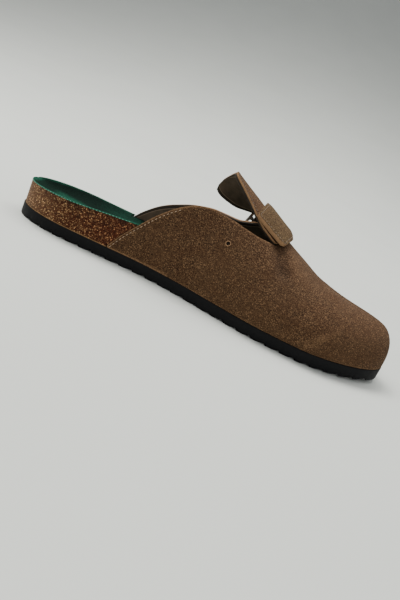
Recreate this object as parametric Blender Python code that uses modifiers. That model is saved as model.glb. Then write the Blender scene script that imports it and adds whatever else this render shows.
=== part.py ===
"""Left clog slipper: black outsole, cork footbed, suede sock, one-piece suede upper, instep strap and buckle.

Design axes: X from the back of the heel to the toe, Y from the inner (medial, -Y) to the outer (lateral, +Y)
side, Z up from the floor. The last step moves the whole shoe so that its box is centred on the origin.
"""

import math
from collections import namedtuple
from functools import lru_cache

import bmesh
import bpy
from mathutils import Matrix, Vector

MM = 0.001

# Driving dimensions, in metres
SOLE_LENGTH = 280 * MM
SOLE_THICKNESS = 7.7 * MM
TOE_SPRING = 3.4 * MM
SPRING_START = 200 * MM
MEET_GAP = 0.3 * MM

HEEL_HALF_WIDTH = 34.5 * MM
HEEL_CENTRE_X = 45 * MM
HEEL_FULLNESS = 2.1
HEEL_ROUND = 2.4 * MM
HEEL_ROUND_REACH = 4 * MM
END_STEP = 0.1 * MM
TOE_TIP_Y = -8 * MM
TOE_TAPER = 1.55
TOE_ROUNDNESS = 2.0
MEDIAL_TOE_START = 220 * MM
LATERAL_TOE_START = 190 * MM

TREAD_PITCH = 10 * MM
TREAD_DEPTH = 1.3 * MM
TREAD_ZIGZAG = 2.2 * MM
TREAD_START = 9 * MM
TREAD_TEETH = 26
TREAD_COLUMNS = [0, 1, -1, 1, -1, 0]
TREAD_LEAD = 3 * MM
PLAIN_START = 5.6 * MM
PLAIN_END = 14 * MM

UPPER_WALL = 2.8 * MM
UPPER_INSET = 0.3 * MM
FAN_START = 226 * MM
RIDGE_END = 256 * MM
FAN_RIBS = 8
QUARTER_ROWS = 6
ROW_CROWDING = 1.25
CROWN_HALF_ROWS = 6
FRONT_SPLIT = 0.52

BED_INSET = 0.5 * MM
SOCK_THICKNESS = 1.3 * MM
BED_RIM_SHARE = 0.94
BED_RIM_POWER = 3.4
BED_COLUMNS = 10
BED_HEEL_END = 22 * MM
BED_TOE_START = 248 * MM
BED_STEP = 12 * MM
BED_STEPS = 19
LEAST_HALF_SHARE = 0.5

WALL_ROOM = 0.5 * MM
CUTTER_REACH_OUT = 1.5 * MM
CUTTER_SKIRT = 3 * MM
CUTTER_STEP_BACK = 0.8 * MM

STRAP_X = 172.6 * MM
STRAP_WIDTH = 28 * MM
STRAP_THICKNESS = 2.7 * MM
RIDGE_SLOPE = 29.0
CONE_RADIUS = 160 * MM
STRAP_CORNER = 4.5 * MM
STRAP_COLUMNS = 6
STRAP_CROWDING = 0.7
SECOND_ROW_PULL = 0.35

BUCKLE_ARC = 43 * MM
BUCKLE_LENGTH = 36 * MM
BUCKLE_DEPTH = 27 * MM
BUCKLE_THICKNESS = 1.6 * MM
BUCKLE_END_BAR = 3.0 * MM
BUCKLE_RAIL = 2.2 * MM
BUCKLE_CENTRE_BAR = 2.2 * MM
BUCKLE_CORNER = 3.5 * MM
BUCKLE_INNER_CORNER = 1.44 * MM
BUCKLE_EDGE = 0.3 * MM
BUCKLE_HEIGHT = 4.7 * MM
BUCKLE_TILT = 2.0

TAB_WIDTH = 17 * MM
TAB_LAYER = 1.2 * MM
TAB_LENGTH = 6.5 * MM
TAB_CLEARANCE = 0.8 * MM
TAB_HOLE_CORNER = 0.5 * MM
TAB_STEPS = 5
TAB_SLOT_DEPTH = 8 * MM
TAB_SLOT_OVERRUN = 0.4 * MM
PRONG_RADIUS = 0.7 * MM
PRONG_HOOK = 2.3 * MM
PRONG_HOOK_RISE = 2.024 * MM
PRONG_TIP_INSET = 0.5 * MM
PRONG_TIP_LIFT = 0.1 * MM
PRONG_KNEE = 7 * MM
PRONG_KNEE_LIFT = 0.3 * MM
PRONG_SLOT = 3.0 * MM
PRONG_TUNNEL = 1.15 * MM

# One cross tooth of the tread: how far along its pitch, and how deep it is cut there
Tooth = namedtuple("Tooth", "share depth")
TOOTH = [
    Tooth(0.0, 0.0),
    Tooth(0.42, 0.0),
    Tooth(0.90, TREAD_DEPTH),
]

# The sole's edges between the heel arc and the toe arcs
Edge = namedtuple("Edge", "x medial lateral")
SOLE_EDGES = [
    Edge(45 * MM, -34.5 * MM, 34.5 * MM),
    Edge(70 * MM, -33.5 * MM, 37.0 * MM),
    Edge(100 * MM, -32.0 * MM, 40.0 * MM),
    Edge(130 * MM, -36.0 * MM, 44.5 * MM),
    Edge(160 * MM, -44.0 * MM, 49.5 * MM),
    Edge(190 * MM, -50.8 * MM, 51.6 * MM),
    Edge(220 * MM, -52.6 * MM, 51.6 * MM),
]

# The last that the upper is drawn over: ridge line, outward bulge of the side, fullness of the arch
Section = namedtuple("Section", "x ridge_y ridge_z bulge fullness")
SECTIONS = [
    Section(50 * MM, 1.0 * MM, 136.0 * MM, 0.0 * MM, 2.20),
    Section(100 * MM, 1.0 * MM, 107.0 * MM, 0.0 * MM, 2.20),
    Section(136 * MM, 1.0 * MM, 87.2 * MM, 0.8 * MM, 2.15),
    Section(160 * MM, 0.0 * MM, 74.6 * MM, 2.0 * MM, 2.15),
    Section(184 * MM, -1.0 * MM, 60.6 * MM, 3.0 * MM, 2.20),
    Section(206 * MM, -2.5 * MM, 50.8 * MM, 3.4 * MM, 2.25),
    Section(225 * MM, -4.0 * MM, 43.6 * MM, 3.2 * MM, 2.40),
    Section(240 * MM, -5.0 * MM, 40.2 * MM, 1.2 * MM, 2.55),
    Section(256 * MM, -6.5 * MM, 38.6 * MM, 0.0 * MM, 2.80),
]
BULGE_TOP = 0.9
BULGE_LOWNESS = 0.6

# Top line of each quarter: height of its edge, from its foot on the sole to the corner of the notch
Line = namedtuple("Line", "x z")
MEDIAL_TOP_LINE = [
    Line(77 * MM, 9.6 * MM),
    Line(83 * MM, 19.4 * MM),
    Line(91 * MM, 30.2 * MM),
    Line(103 * MM, 44.6 * MM),
    Line(115 * MM, 54.8 * MM),
    Line(125 * MM, 59.4 * MM),
    Line(134 * MM, 60.7 * MM),
    Line(146 * MM, 60.0 * MM),
    Line(160 * MM, 58.0 * MM),
    Line(172 * MM, 56.7 * MM),
    Line(178 * MM, 56.9 * MM),
    Line(181.5 * MM, 58.6 * MM),
]
LATERAL_TOP_LINE = [
    Line(62 * MM, 9.6 * MM),
    Line(68 * MM, 21.5 * MM),
    Line(76 * MM, 30.8 * MM),
    Line(86 * MM, 39.4 * MM),
    Line(98 * MM, 46.0 * MM),
    Line(112 * MM, 51.6 * MM),
    Line(128 * MM, 54.8 * MM),
    Line(145 * MM, 55.0 * MM),
]

# The outer quarter's edge runs on under the strap to a keyhole in front of it: distance from the middle plane
Reach = namedtuple("Reach", "x y")
KEYHOLE_LINE = [
    Reach(155 * MM, 35.5 * MM),
    Reach(163 * MM, 30.5 * MM),
    Reach(171 * MM, 24.0 * MM),
    Reach(178 * MM, 18.0 * MM),
    Reach(184 * MM, 13.2 * MM),
    Reach(187 * MM, 11.2 * MM),
    Reach(189.5 * MM, 11.4 * MM),
    Reach(192 * MM, 9.6 * MM),
]

# Rounded rear end of the tongue lobe, and the gap from the quarter up to it in front of that
Tip = namedtuple("Tip", "x medial lateral")
LOBE_TIP = [
    Tip(134.0 * MM, -2.5 * MM, 27.5 * MM),
    Tip(134.8 * MM, -4.6 * MM, 31.0 * MM),
    Tip(136.5 * MM, -6.6 * MM, 33.4 * MM),
    Tip(141.0 * MM, -9.4 * MM, 34.8 * MM),
    Tip(149.0 * MM, -14.2 * MM, 34.8 * MM),
]
Gap = namedtuple("Gap", "x width")
MEDIAL_NOTCH = [
    Gap(160 * MM, 16.0 * MM),
    Gap(167 * MM, 10.0 * MM),
    Gap(172.5 * MM, 6.8 * MM),
    Gap(178 * MM, 3.6 * MM),
    Gap(181.5 * MM, 0.0 * MM),
]
LATERAL_NOTCH = [
    Gap(160 * MM, 8.0 * MM),
    Gap(168 * MM, 4.6 * MM),
    Gap(176 * MM, 2.4 * MM),
    Gap(183 * MM, 1.5 * MM),
    Gap(187 * MM, 1.4 * MM),
    Gap(190 * MM, 3.2 * MM),
    Gap(192 * MM, 0.0 * MM),
]
LOBE_SWEEP = 12 * MM
LOBE_SWEEP_WIDTH = 30 * MM
SWEEP_END = 174 * MM

# Cork footbed: height of its rim on each side and of its middle line
Bed = namedtuple("Bed", "x medial middle lateral")
BED_HEIGHTS = [
    Bed(0 * MM, 25.0 * MM, 25.0 * MM, 25.0 * MM),
    Bed(9 * MM, 25.1 * MM, 18.6 * MM, 24.9 * MM),
    Bed(22 * MM, 25.5 * MM, 15.2 * MM, 24.8 * MM),
    Bed(45 * MM, 26.6 * MM, 14.4 * MM, 24.5 * MM),
    Bed(75 * MM, 29.6 * MM, 16.2 * MM, 24.0 * MM),
    Bed(105 * MM, 31.8 * MM, 18.4 * MM, 23.4 * MM),
    Bed(135 * MM, 30.6 * MM, 17.4 * MM, 21.8 * MM),
    Bed(170 * MM, 22.6 * MM, 14.4 * MM, 18.6 * MM),
    Bed(200 * MM, 17.6 * MM, 13.2 * MM, 16.6 * MM),
    Bed(245 * MM, 17.4 * MM, 14.0 * MM, 17.4 * MM),
    Bed(280 * MM, 19.0 * MM, 18.2 * MM, 19.0 * MM),
]

# The strap along its run from the ridge: height of its underside above the upper's face, at its rear edge and
# at its front edge
Run = namedtuple("Run", "arc lift front")
STRAP_RUN = [
    Run(-24.5 * MM, 0.5 * MM, 0.8 * MM),
    Run(-19 * MM, 0.5 * MM, 1.2 * MM),
    Run(-10 * MM, 0.8 * MM, 2.6 * MM),
    Run(0 * MM, 1.2 * MM, 3.4 * MM),
    Run(14 * MM, 1.3 * MM, 3.4 * MM),
    Run(26 * MM, 0.9 * MM, 3.0 * MM),
    Run(43 * MM, 2.4 * MM, 2.4 * MM),
    Run(61 * MM, 2.8 * MM, 2.8 * MM),
    Run(67 * MM, 2.2 * MM, 2.2 * MM),
    Run(72 * MM, 1.2 * MM, 1.2 * MM),
    Run(76 * MM, 0.6 * MM, 0.6 * MM),
]

# Where the strap's stations change their spacing, and how many follow up to the next row
Spacing = namedtuple("Spacing", "arc count")
STRAP_STATIONS = [
    Spacing(STRAP_RUN[0].arc, 9),
    Spacing(29 * MM, 18),
    Spacing(57 * MM, 6),
    Spacing(STRAP_RUN[-1].arc, 0),
]

# Height of the strap's underside where it climbs over the buckle's bar, in the buckle's own axes
Pass = namedtuple("Pass", "x y")
BUCKLE_PASS = [
    Pass(-20 * MM, 0.0 * MM),
    Pass(-13.5 * MM, 0.2 * MM),
    Pass(-9.4 * MM, 0.5 * MM),
    Pass(-8 * MM, 1.2 * MM),
    Pass(-6 * MM, 3.6 * MM),
    Pass(-4 * MM, 6.0 * MM),
    Pass(-2 * MM, 7.4 * MM),
    Pass(0 * MM, 7.8 * MM),
    Pass(2 * MM, 7.4 * MM),
    Pass(4 * MM, 6.0 * MM),
    Pass(6 * MM, 3.9 * MM),
    Pass(8 * MM, 1.9 * MM),
    Pass(9.6 * MM, 0.8 * MM),
    Pass(13.5 * MM, 0.4 * MM),
    Pass(20 * MM, 0.0 * MM),
]
PASS_HALF = 13.5 * MM
PASS_BLEND = 6.5 * MM


def smooth(table, x, column):
    """Value of a table's column at x, on a cubic that never overshoots its rows."""
    xs = [row[0] for row in table]
    ys = [getattr(row, column) for row in table]
    x = min(max(x, xs[0]), xs[-1])
    steps = [(ys[i + 1] - ys[i]) / (xs[i + 1] - xs[i]) for i in range(len(xs) - 1)]
    slopes = [steps[0]]
    for before, after in zip(steps, steps[1:]):
        slopes.append(0 if before * after <= 0 else 2 * before * after / (before + after))
    slopes.append(steps[-1])
    i = max(k for k in range(len(steps)) if x >= xs[k])
    width = xs[i + 1] - xs[i]
    t = (x - xs[i]) / width
    rise = ys[i] * (2 * t**3 - 3 * t**2 + 1) + ys[i + 1] * (3 * t**2 - 2 * t**3)
    return rise + width * (slopes[i] * (t**3 - 2 * t**2 + t) + slopes[i + 1] * (t**3 - t**2))


def ease(t):
    """0 to 1 with flat ends."""
    t = min(max(t, 0.0), 1.0)
    return t * t * (3 - 2 * t)


def arc_share(t, fullness):
    """Height of a unit superellipse at share t of its half length."""
    return max(0.0, 1 - min(max(t, 0.0), 1.0) ** fullness) ** (1 / fullness)


def crowd(first, last, count):
    """Values from first to last that lie closest together at the first."""
    return [first + (last - first) * (k / count) ** 2 for k in range(count + 1)]


def sole_edge(side, x):
    """Y of the sole's edge on one side (-1 medial, 1 lateral)."""
    if x < HEEL_CENTRE_X:
        return side * HEEL_HALF_WIDTH * arc_share((HEEL_CENTRE_X - x) / HEEL_CENTRE_X, HEEL_FULLNESS)
    name = "medial" if side < 0 else "lateral"
    start = MEDIAL_TOE_START if side < 0 else LATERAL_TOE_START
    if x <= start:
        return smooth(SOLE_EDGES, x, name)
    widest = smooth(SOLE_EDGES, start, name)
    share = max(0.0, 1 - ((x - start) / (SOLE_LENGTH - start)) ** TOE_TAPER) ** (1 / TOE_ROUNDNESS)
    return TOE_TIP_Y + (widest - TOE_TIP_Y) * share


def spring(x):
    """How far the sole has risen from the floor at x."""
    return TOE_SPRING * max(0.0, (x - SPRING_START) / (SOLE_LENGTH - SPRING_START)) ** 2


def toe_arc(side, count):
    """Points of the sole's edge from the start of the fan to the tip, evenly spaced along it."""
    samples = 300
    dense = []
    for x in reversed(crowd(SOLE_LENGTH, FAN_START, samples)):
        dense.append(Vector((x, sole_edge(side, x))))
    lengths = [0.0]
    for a, b in zip(dense, dense[1:]):
        lengths.append(lengths[-1] + (b - a).length)
    points = []
    for n in range(count + 1):
        wanted = lengths[-1] * n / count
        k = max(i for i in range(samples) if lengths[i] <= wanted)
        t = (wanted - lengths[k]) / (lengths[k + 1] - lengths[k])
        points.append(dense[k].lerp(dense[k + 1], t))
    return points


class Rib:
    """One line of the upper's face, from the sole's edge (v = 0) up and over to the ridge (v = 1)."""

    def __init__(self, side, x, foot=None, ridge_x=None):
        ridge_x = x if ridge_x is None else ridge_x
        foot = Vector((x, sole_edge(side, x))) if foot is None else foot
        self.x = x
        self.ridge = Vector((ridge_x, smooth(SECTIONS, ridge_x, "ridge_y")))
        self.direction = (foot - self.ridge).normalized()
        self.width = (foot - self.ridge).length - UPPER_INSET
        self.base = SOLE_THICKNESS + MEET_GAP + spring(foot.x)
        self.height = smooth(SECTIONS, ridge_x, "ridge_z") - self.base
        self.bulge = smooth(SECTIONS, ridge_x, "bulge")
        self.power = smooth(SECTIONS, ridge_x, "fullness")

    def point(self, v):
        angle = min(max(v, 0.0), 1.0) * math.pi / 2
        up = math.sin(angle) ** (2 / self.power)
        out = max(0.0, math.cos(angle)) ** (2 / self.power) if v < 1 else 0.0
        swell = self.bulge * math.sin(math.pi * min(1.0, up / BULGE_TOP) ** BULGE_LOWNESS)
        plan = self.ridge + self.direction * (self.width * out + swell * out)
        return Vector((plan.x, plan.y, self.base + self.height * up))

    def v_at_height(self, z):
        share = min(max((z - self.base) / self.height, 0.0), 1.0)
        return math.asin(share ** (self.power / 2)) / (math.pi / 2)

    def v_at_reach(self, y):
        share = min(abs(y - self.ridge.y) / self.width, 1.0)
        return math.acos(share ** (self.power / 2)) / (math.pi / 2)

    def length(self):
        points = [self.point(k / 12) for k in range(13)]
        return sum((b - a).length for a, b in zip(points, points[1:]))


def face_point(x, u):
    """Point of the upper's face at x; u runs from -1 at the medial edge over 0, the ridge, to 1."""
    return Rib(-1 if u < 0 else 1, x).point(1 - abs(u))


def face_normal(x, u):
    step_x = 0.5 * MM
    step_u = 0.01
    along = face_point(x + step_x, u) - face_point(x - step_x, u)
    across = face_point(x, u + step_u) - face_point(x, u - step_u)
    return along.cross(across).normalized()


@lru_cache(maxsize=None)
def arc_table(x):
    """Rows of arc length from the ridge against u, across the face at x."""
    row = namedtuple("row", "arc u")
    count = 40
    us = [k / count for k in range(-count, count + 1)]
    points = [face_point(x, u) for u in us]
    arcs = [0.0]
    for a, b in zip(points, points[1:]):
        arcs.append(arcs[-1] + (b - a).length)
    return [row(arc - arcs[count], u) for arc, u in zip(arcs, us)]


def strap_spot(run, offset):
    """Where a straight band laid over the vamp's cone lies: x and u at a run from the ridge and an offset."""
    reach = math.hypot(CONE_RADIUS - offset, run)
    x = STRAP_X + (CONE_RADIUS - reach) * math.cos(math.radians(RIDGE_SLOPE))
    arc = reach * math.atan2(run, CONE_RADIUS - offset)
    return x, smooth(arc_table(round(x, 4)), arc, "u")


def over_face(run, offset, lift):
    """Point at a height above the upper's face, in the strap's own run and offset."""
    x, u = strap_spot(run, offset)
    return face_point(x, u) + face_normal(x, u) * lift


def top_line(side):
    return MEDIAL_TOP_LINE if side < 0 else LATERAL_TOP_LINE


def corner_x(side):
    """Where a notch ends and the vamp closes."""
    return (MEDIAL_NOTCH if side < 0 else LATERAL_NOTCH)[-1].x


@lru_cache(maxsize=None)
def keyhole_rows():
    """Rows of x against the rib position of the outer quarter's edge, from its last height to the keyhole."""
    row = namedtuple("row", "x v")
    rows = [row(line.x, Rib(1, line.x).v_at_height(line.z)) for line in LATERAL_TOP_LINE[-2:]]
    return rows + [row(reach.x, Rib(1, reach.x).v_at_reach(reach.y)) for reach in KEYHOLE_LINE]


def quarter_v(side, x):
    """Rib position of the quarter's top edge behind the notch's corner."""
    if side > 0 and x > LATERAL_TOP_LINE[-1].x:
        return smooth(keyhole_rows(), x, "v")
    return Rib(side, x).v_at_height(smooth(top_line(side), x, "z"))


def lobe_v(side, x):
    """Rib position of the lobe's side edge behind the notch's corner."""
    row = namedtuple("row", "x v")
    name = "medial" if side < 0 else "lateral"
    rows = [row(tip.x, Rib(side, tip.x).v_at_reach(getattr(tip, name))) for tip in LOBE_TIP]
    for gap in MEDIAL_NOTCH if side < 0 else LATERAL_NOTCH:
        rib = Rib(side, gap.x)
        rows.append(row(gap.x, quarter_v(side, gap.x) + gap.width / rib.length()))
    return smooth(rows, x, "v")


def split_v(side, x):
    """Rib position of the line that runs on from the notch's corner to the toe."""
    corner = corner_x(side)
    share = ease((x - corner) / (FAN_START - corner))
    return quarter_v(side, corner) * (1 - share) + FRONT_SPLIT * share


def lobe_point(x, u):
    """Point of the lobe, whose rear end runs obliquely back towards the outer side."""
    y = face_point(x, u).y
    fade = ease((SWEEP_END - x) / (SWEEP_END - LOBE_TIP[0].x))
    back = LOBE_SWEEP * (max(0.0, y) / LOBE_SWEEP_WIDTH) ** 2 * fade
    return face_point(x - back, u)


def upper_stations(side):
    """Stations of the upper from a quarter's foot to the start of the toe fan."""
    rising = [66, 71, 77, 83, 91, 99, 107, 115, 124]
    crown = [134, 134.8, 136.5, 141, 149, 155, 161, 167, 172.5, 177, 181.5]
    front = [184.5, 187, 188.5, 190, 191, 192, 197, 205, 215, 226]
    line = top_line(side)
    stations = [line[0].x] + [x * MM for x in rising + crown + front if x * MM > line[0].x]
    return stations


def fan_ribs(side):
    """Ribs round the toe, from the start of the fan to the tip."""
    ribs = []
    for n, foot in enumerate(toe_arc(side, FAN_RIBS)):
        ridge_x = FAN_START + (RIDGE_END - FAN_START) * n / FAN_RIBS
        ribs.append(Rib(side, foot.x, foot, ridge_x))
    return ribs[1:]


def wall_rows(side):
    """Rows of a quarter and side wall, one for each station, from the sole to the notch or split line."""
    corner = corner_x(side)
    shares = [(k / QUARTER_ROWS) ** ROW_CROWDING for k in range(QUARTER_ROWS + 1)]
    rows = []
    for x in upper_stations(side):
        top = quarter_v(side, x) if x <= corner else split_v(side, x)
        rows.append([Rib(side, x).point(top * share) for share in shares])
    for rib in fan_ribs(side):
        rows.append([rib.point(FRONT_SPLIT * share) for share in shares])
    return rows


def crown_rows():
    """Rows over the ridge, from one side's notch or split line to the other's."""
    rows = []
    for x in [x for x in upper_stations(-1) if x >= LOBE_TIP[0].x]:
        tops = {}
        for side in (-1, 1):
            tops[side] = lobe_v(side, x) if x < corner_x(side) else split_v(side, x)
        row = []
        for k in range(-CROWN_HALF_ROWS, CROWN_HALF_ROWS + 1):
            side = -1 if k < 0 else 1
            row.append(lobe_point(x, k / CROWN_HALF_ROWS * (1 - tops[side])))
        rows.append(row)
    for medial, lateral in zip(fan_ribs(-1), fan_ribs(1)):
        row = []
        for k in range(-CROWN_HALF_ROWS, CROWN_HALF_ROWS + 1):
            rib = medial if k < 0 else lateral
            row.append(rib.point(1 - abs(k) / CROWN_HALF_ROWS * (1 - FRONT_SPLIT)))
        rows.append(row)
    return rows


def mesh_from_rows(name, patches, outward_from=None, weld=0.02 * MM):
    """A mesh from patches, each a list of rows of points with the same count, welded where they meet."""
    bm = bmesh.new()
    for rows in patches:
        grid = [[bm.verts.new(p) for p in row] for row in rows]
        for r0, r1 in zip(grid, grid[1:]):
            for k in range(len(r0) - 1):
                bm.faces.new((r0[k], r1[k], r1[k + 1], r0[k + 1]))
    bmesh.ops.remove_doubles(bm, verts=bm.verts, dist=weld)
    bmesh.ops.recalc_face_normals(bm, faces=bm.faces)
    if outward_from is not None:
        facing = sum(f.normal.dot(f.calc_center_median() - outward_from) * f.calc_area() for f in bm.faces)
        if facing < 0:
            bmesh.ops.reverse_faces(bm, faces=bm.faces)
    mesh = bpy.data.meshes.new(name)
    bm.to_mesh(mesh)
    bm.free()
    return mesh


def merge_flat_faces(mesh):
    """Joins the faces that lie in one plane, and splits them again into the fewest triangles."""
    bm = bmesh.new()
    bm.from_mesh(mesh)
    bmesh.ops.dissolve_limit(bm, angle_limit=math.radians(0.02), verts=[], edges=bm.edges)
    bmesh.ops.triangulate(bm, faces=bm.faces)
    bm.to_mesh(mesh)
    bm.free()
    return mesh


def slab_patches(bottom, top):
    """The six sides of a solid between two matching grids of points."""
    ends = [[bottom[0], top[0]], [bottom[-1], top[-1]]]
    sides = [[[b[k] for b in bottom], [t[k] for t in top]] for k in (0, -1)]
    return [bottom, top] + ends + sides


def material(name, colour, roughness, metallic=0.0):
    mat = bpy.data.materials.new(name)
    mat.use_nodes = True
    shader = mat.node_tree.nodes["Principled BSDF"]
    shader.inputs["Base Color"].default_value = (*colour, 1)
    shader.inputs["Roughness"].default_value = roughness
    shader.inputs["Metallic"].default_value = metallic
    return mat


def add_object(name, mesh, mat, collection, smooth_angle=40):
    mesh.shade_smooth()
    mesh.set_sharp_from_angle(angle=math.radians(smooth_angle))
    mesh.materials.clear()
    mesh.materials.append(mat)
    obj = bpy.data.objects.new(name, mesh)
    collection.objects.link(obj)
    return obj


def evaluated_mesh(obj):
    """The object's mesh with its modifiers and place applied; the object itself is removed."""
    bpy.context.view_layer.update()
    evaluated = obj.evaluated_get(bpy.context.evaluated_depsgraph_get())
    mesh = bpy.data.meshes.new_from_object(evaluated)
    mesh.transform(obj.matrix_world)
    bpy.data.objects.remove(obj)
    return mesh


def weld_mesh(mesh, distance=0.01 * MM):
    bm = bmesh.new()
    bm.from_mesh(mesh)
    bmesh.ops.remove_doubles(bm, verts=bm.verts, dist=distance)
    bm.to_mesh(mesh)
    bm.free()
    return mesh


def cut(obj, cutter):
    """Cuts one object by another and keeps the cutter out of the shoe."""
    boolean = obj.modifiers.new("cut_" + cutter.name, "BOOLEAN")
    boolean.operation = "DIFFERENCE"
    boolean.solver = "EXACT"
    boolean.object = cutter
    cutter.hide_render = True
    cutter.display_type = "WIRE"


def build_outsole(collection):
    """Black outsole: flat top, and a floor side of cross teeth with a land, a ramp and a steep face."""
    stations = [(x, 0.0) for x in crowd(END_STEP, TREAD_START - TREAD_LEAD, 4)]
    for n in range(TREAD_TEETH):
        stations += [(TREAD_START + (n + row.share) * TREAD_PITCH, row.depth) for row in TOOTH]
    tail = crowd(SOLE_LENGTH - END_STEP, TREAD_START + TREAD_TEETH * TREAD_PITCH, 5)
    stations += [(x, 0.0) for x in reversed(tail)]
    bottom, top = [], []
    for x, depth in stations:
        free = ease((min(x, SOLE_LENGTH - x) - PLAIN_START) / PLAIN_END)
        low_row, high_row = [], []
        for k, turn in enumerate(TREAD_COLUMNS):
            along = x + turn * TREAD_ZIGZAG * free
            share = k / (len(TREAD_COLUMNS) - 1)
            y = sole_edge(-1, along) * (1 - share) + sole_edge(1, along) * share
            heel_round = HEEL_ROUND * (1 - ease(along / HEEL_ROUND_REACH))
            low_row.append(Vector((along, y, depth + spring(along) + heel_round)))
            high_row.append(Vector((along, y, SOLE_THICKNESS + spring(along))))
        bottom.append(low_row)
        top.append(high_row)
    mesh = merge_flat_faces(mesh_from_rows("outsole", slab_patches(bottom, top)))
    return add_object("outsole", mesh, material("black_rubber", (0.012, 0.012, 0.013), 0.55), collection, 25)


def bed_height(x, share):
    """Height of the foot's surface; share runs from -1 at the medial rim to 1 at the lateral rim."""
    middle = smooth(BED_HEIGHTS, x, "middle")
    rim = smooth(BED_HEIGHTS, x, "medial" if share < 0 else "lateral")
    return middle + (rim - middle) * min(1.0, abs(share) / BED_RIM_SHARE) ** BED_RIM_POWER


def bed_slab(name, low, high):
    """A layer of the footbed between two height functions, before the upper's wall is cut out."""
    heel = crowd(BED_INSET + END_STEP, BED_HEEL_END, 5)
    middle = [BED_HEEL_END + BED_STEP * k for k in range(1, BED_STEPS)]
    toe = list(reversed(crowd(SOLE_LENGTH - BED_INSET - END_STEP, BED_TOE_START, 4)))
    shares = [math.sin(math.pi / 2 * (2 * k / BED_COLUMNS - 1)) for k in range(BED_COLUMNS + 1)]
    bottom, top = [], []
    stretch = SOLE_LENGTH / (SOLE_LENGTH - 2 * BED_INSET)
    for x in heel + middle + toe:
        source = (x - BED_INSET) * stretch
        low_row, high_row = [], []
        for share in shares:
            edge = sole_edge(-1 if share < 0 else 1, source)
            centre = (sole_edge(-1, source) + sole_edge(1, source)) / 2
            half = abs(edge - centre)
            y = centre + share * max(half - BED_INSET, half * LEAST_HALF_SHARE)
            low_row.append(Vector((x, y, low(x, share))))
            high_row.append(Vector((x, y, high(x, share))))
        bottom.append(low_row)
        top.append(high_row)
    return mesh_from_rows(name, slab_patches(bottom, top))


def build_wall_cutter(collection):
    """The space of the upper's wall, with a meeting gap inside it, as a cutter for the footbed's layers."""
    rows = []
    for side in (-1, 1):
        side_rows = []
        for row in wall_rows(side):
            over_edge = row[-1] + (row[-1] - row[-2]).normalized() * CUTTER_STEP_BACK
            side_rows.append([row[0] - Vector((0, 0, CUTTER_SKIRT))] + row + [over_edge])
        rear = side_rows[0]
        side_rows.insert(0, [p - Vector((CUTTER_STEP_BACK, 0, 0)) for p in rear])
        rows.append(side_rows)
    mesh = mesh_from_rows("wall_cutter", rows, outward_from=Vector((190 * MM, 0, 0)))
    obj = add_object("wall_cutter", mesh, material("guide", (0.5, 0.5, 0.5), 0.5), collection)
    solid = obj.modifiers.new("wall", "SOLIDIFY")
    solid.thickness = CUTTER_REACH_OUT + UPPER_WALL + WALL_ROOM
    solid.offset = 2 * CUTTER_REACH_OUT / solid.thickness - 1
    solid.use_even_offset = True
    return obj


def build_midsole(collection, cutter):
    """Cork footbed with its raised rim, arch and heel cup."""
    def low(x, share):
        return SOLE_THICKNESS + MEET_GAP + spring(x)

    def high(x, share):
        return bed_height(x, share) - SOCK_THICKNESS - MEET_GAP

    mesh = bed_slab("midsole", low, high)
    obj = add_object("midsole", mesh, material("cork", (0.20, 0.085, 0.035), 0.8), collection)
    cut(obj, cutter)
    return obj


def build_insole(collection, cutter):
    """Suede sock that covers the footbed and shows its edge round the heel."""
    def low(x, share):
        return bed_height(x, share) - SOCK_THICKNESS

    mesh = bed_slab("insole", low, bed_height)
    obj = add_object("insole", mesh, material("green_suede", (0.006, 0.045, 0.027), 0.95), collection)
    cut(obj, cutter)
    return obj


def build_upper(collection):
    """Suede upper: two quarters, a closed vamp and a tongue lobe between two notches, in one wall."""
    patches = [wall_rows(-1), wall_rows(1), crown_rows()]
    mesh = mesh_from_rows("upper", patches, outward_from=Vector((190 * MM, 0, 0)))
    obj = add_object("upper", mesh, material("taupe_suede", (0.11, 0.065, 0.04), 0.95), collection)
    wall = obj.modifiers.new("wall", "SOLIDIFY")
    wall.thickness = UPPER_WALL
    wall.offset = -1
    wall.use_even_offset = True
    return obj


def strap_runs():
    """Runs of the strap's stations, closest together where it climbs over the buckle's bar."""
    runs = [STRAP_STATIONS[0][0]]
    for here, after in zip(STRAP_STATIONS, STRAP_STATIONS[1:]):
        step = (after.arc - here.arc) / here.count
        runs += [here.arc + step * (k + 1) for k in range(here.count)]
    return runs


def strap_point(run, share, place):
    """Point of the strap's underside, over the face, or in the buckle's axes where it passes the buckle."""
    rear, front = smooth(STRAP_RUN, run, "lift"), smooth(STRAP_RUN, run, "front")
    offset = share * STRAP_WIDTH / 2
    loose = over_face(run, offset, rear + (front - rear) * (share + 1) / 2)
    x = run - BUCKLE_ARC
    held = place @ Vector((x, smooth(BUCKLE_PASS, x, "y"), offset))
    return held.lerp(loose, ease((abs(x) - PASS_HALF) / PASS_BLEND))


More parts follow.
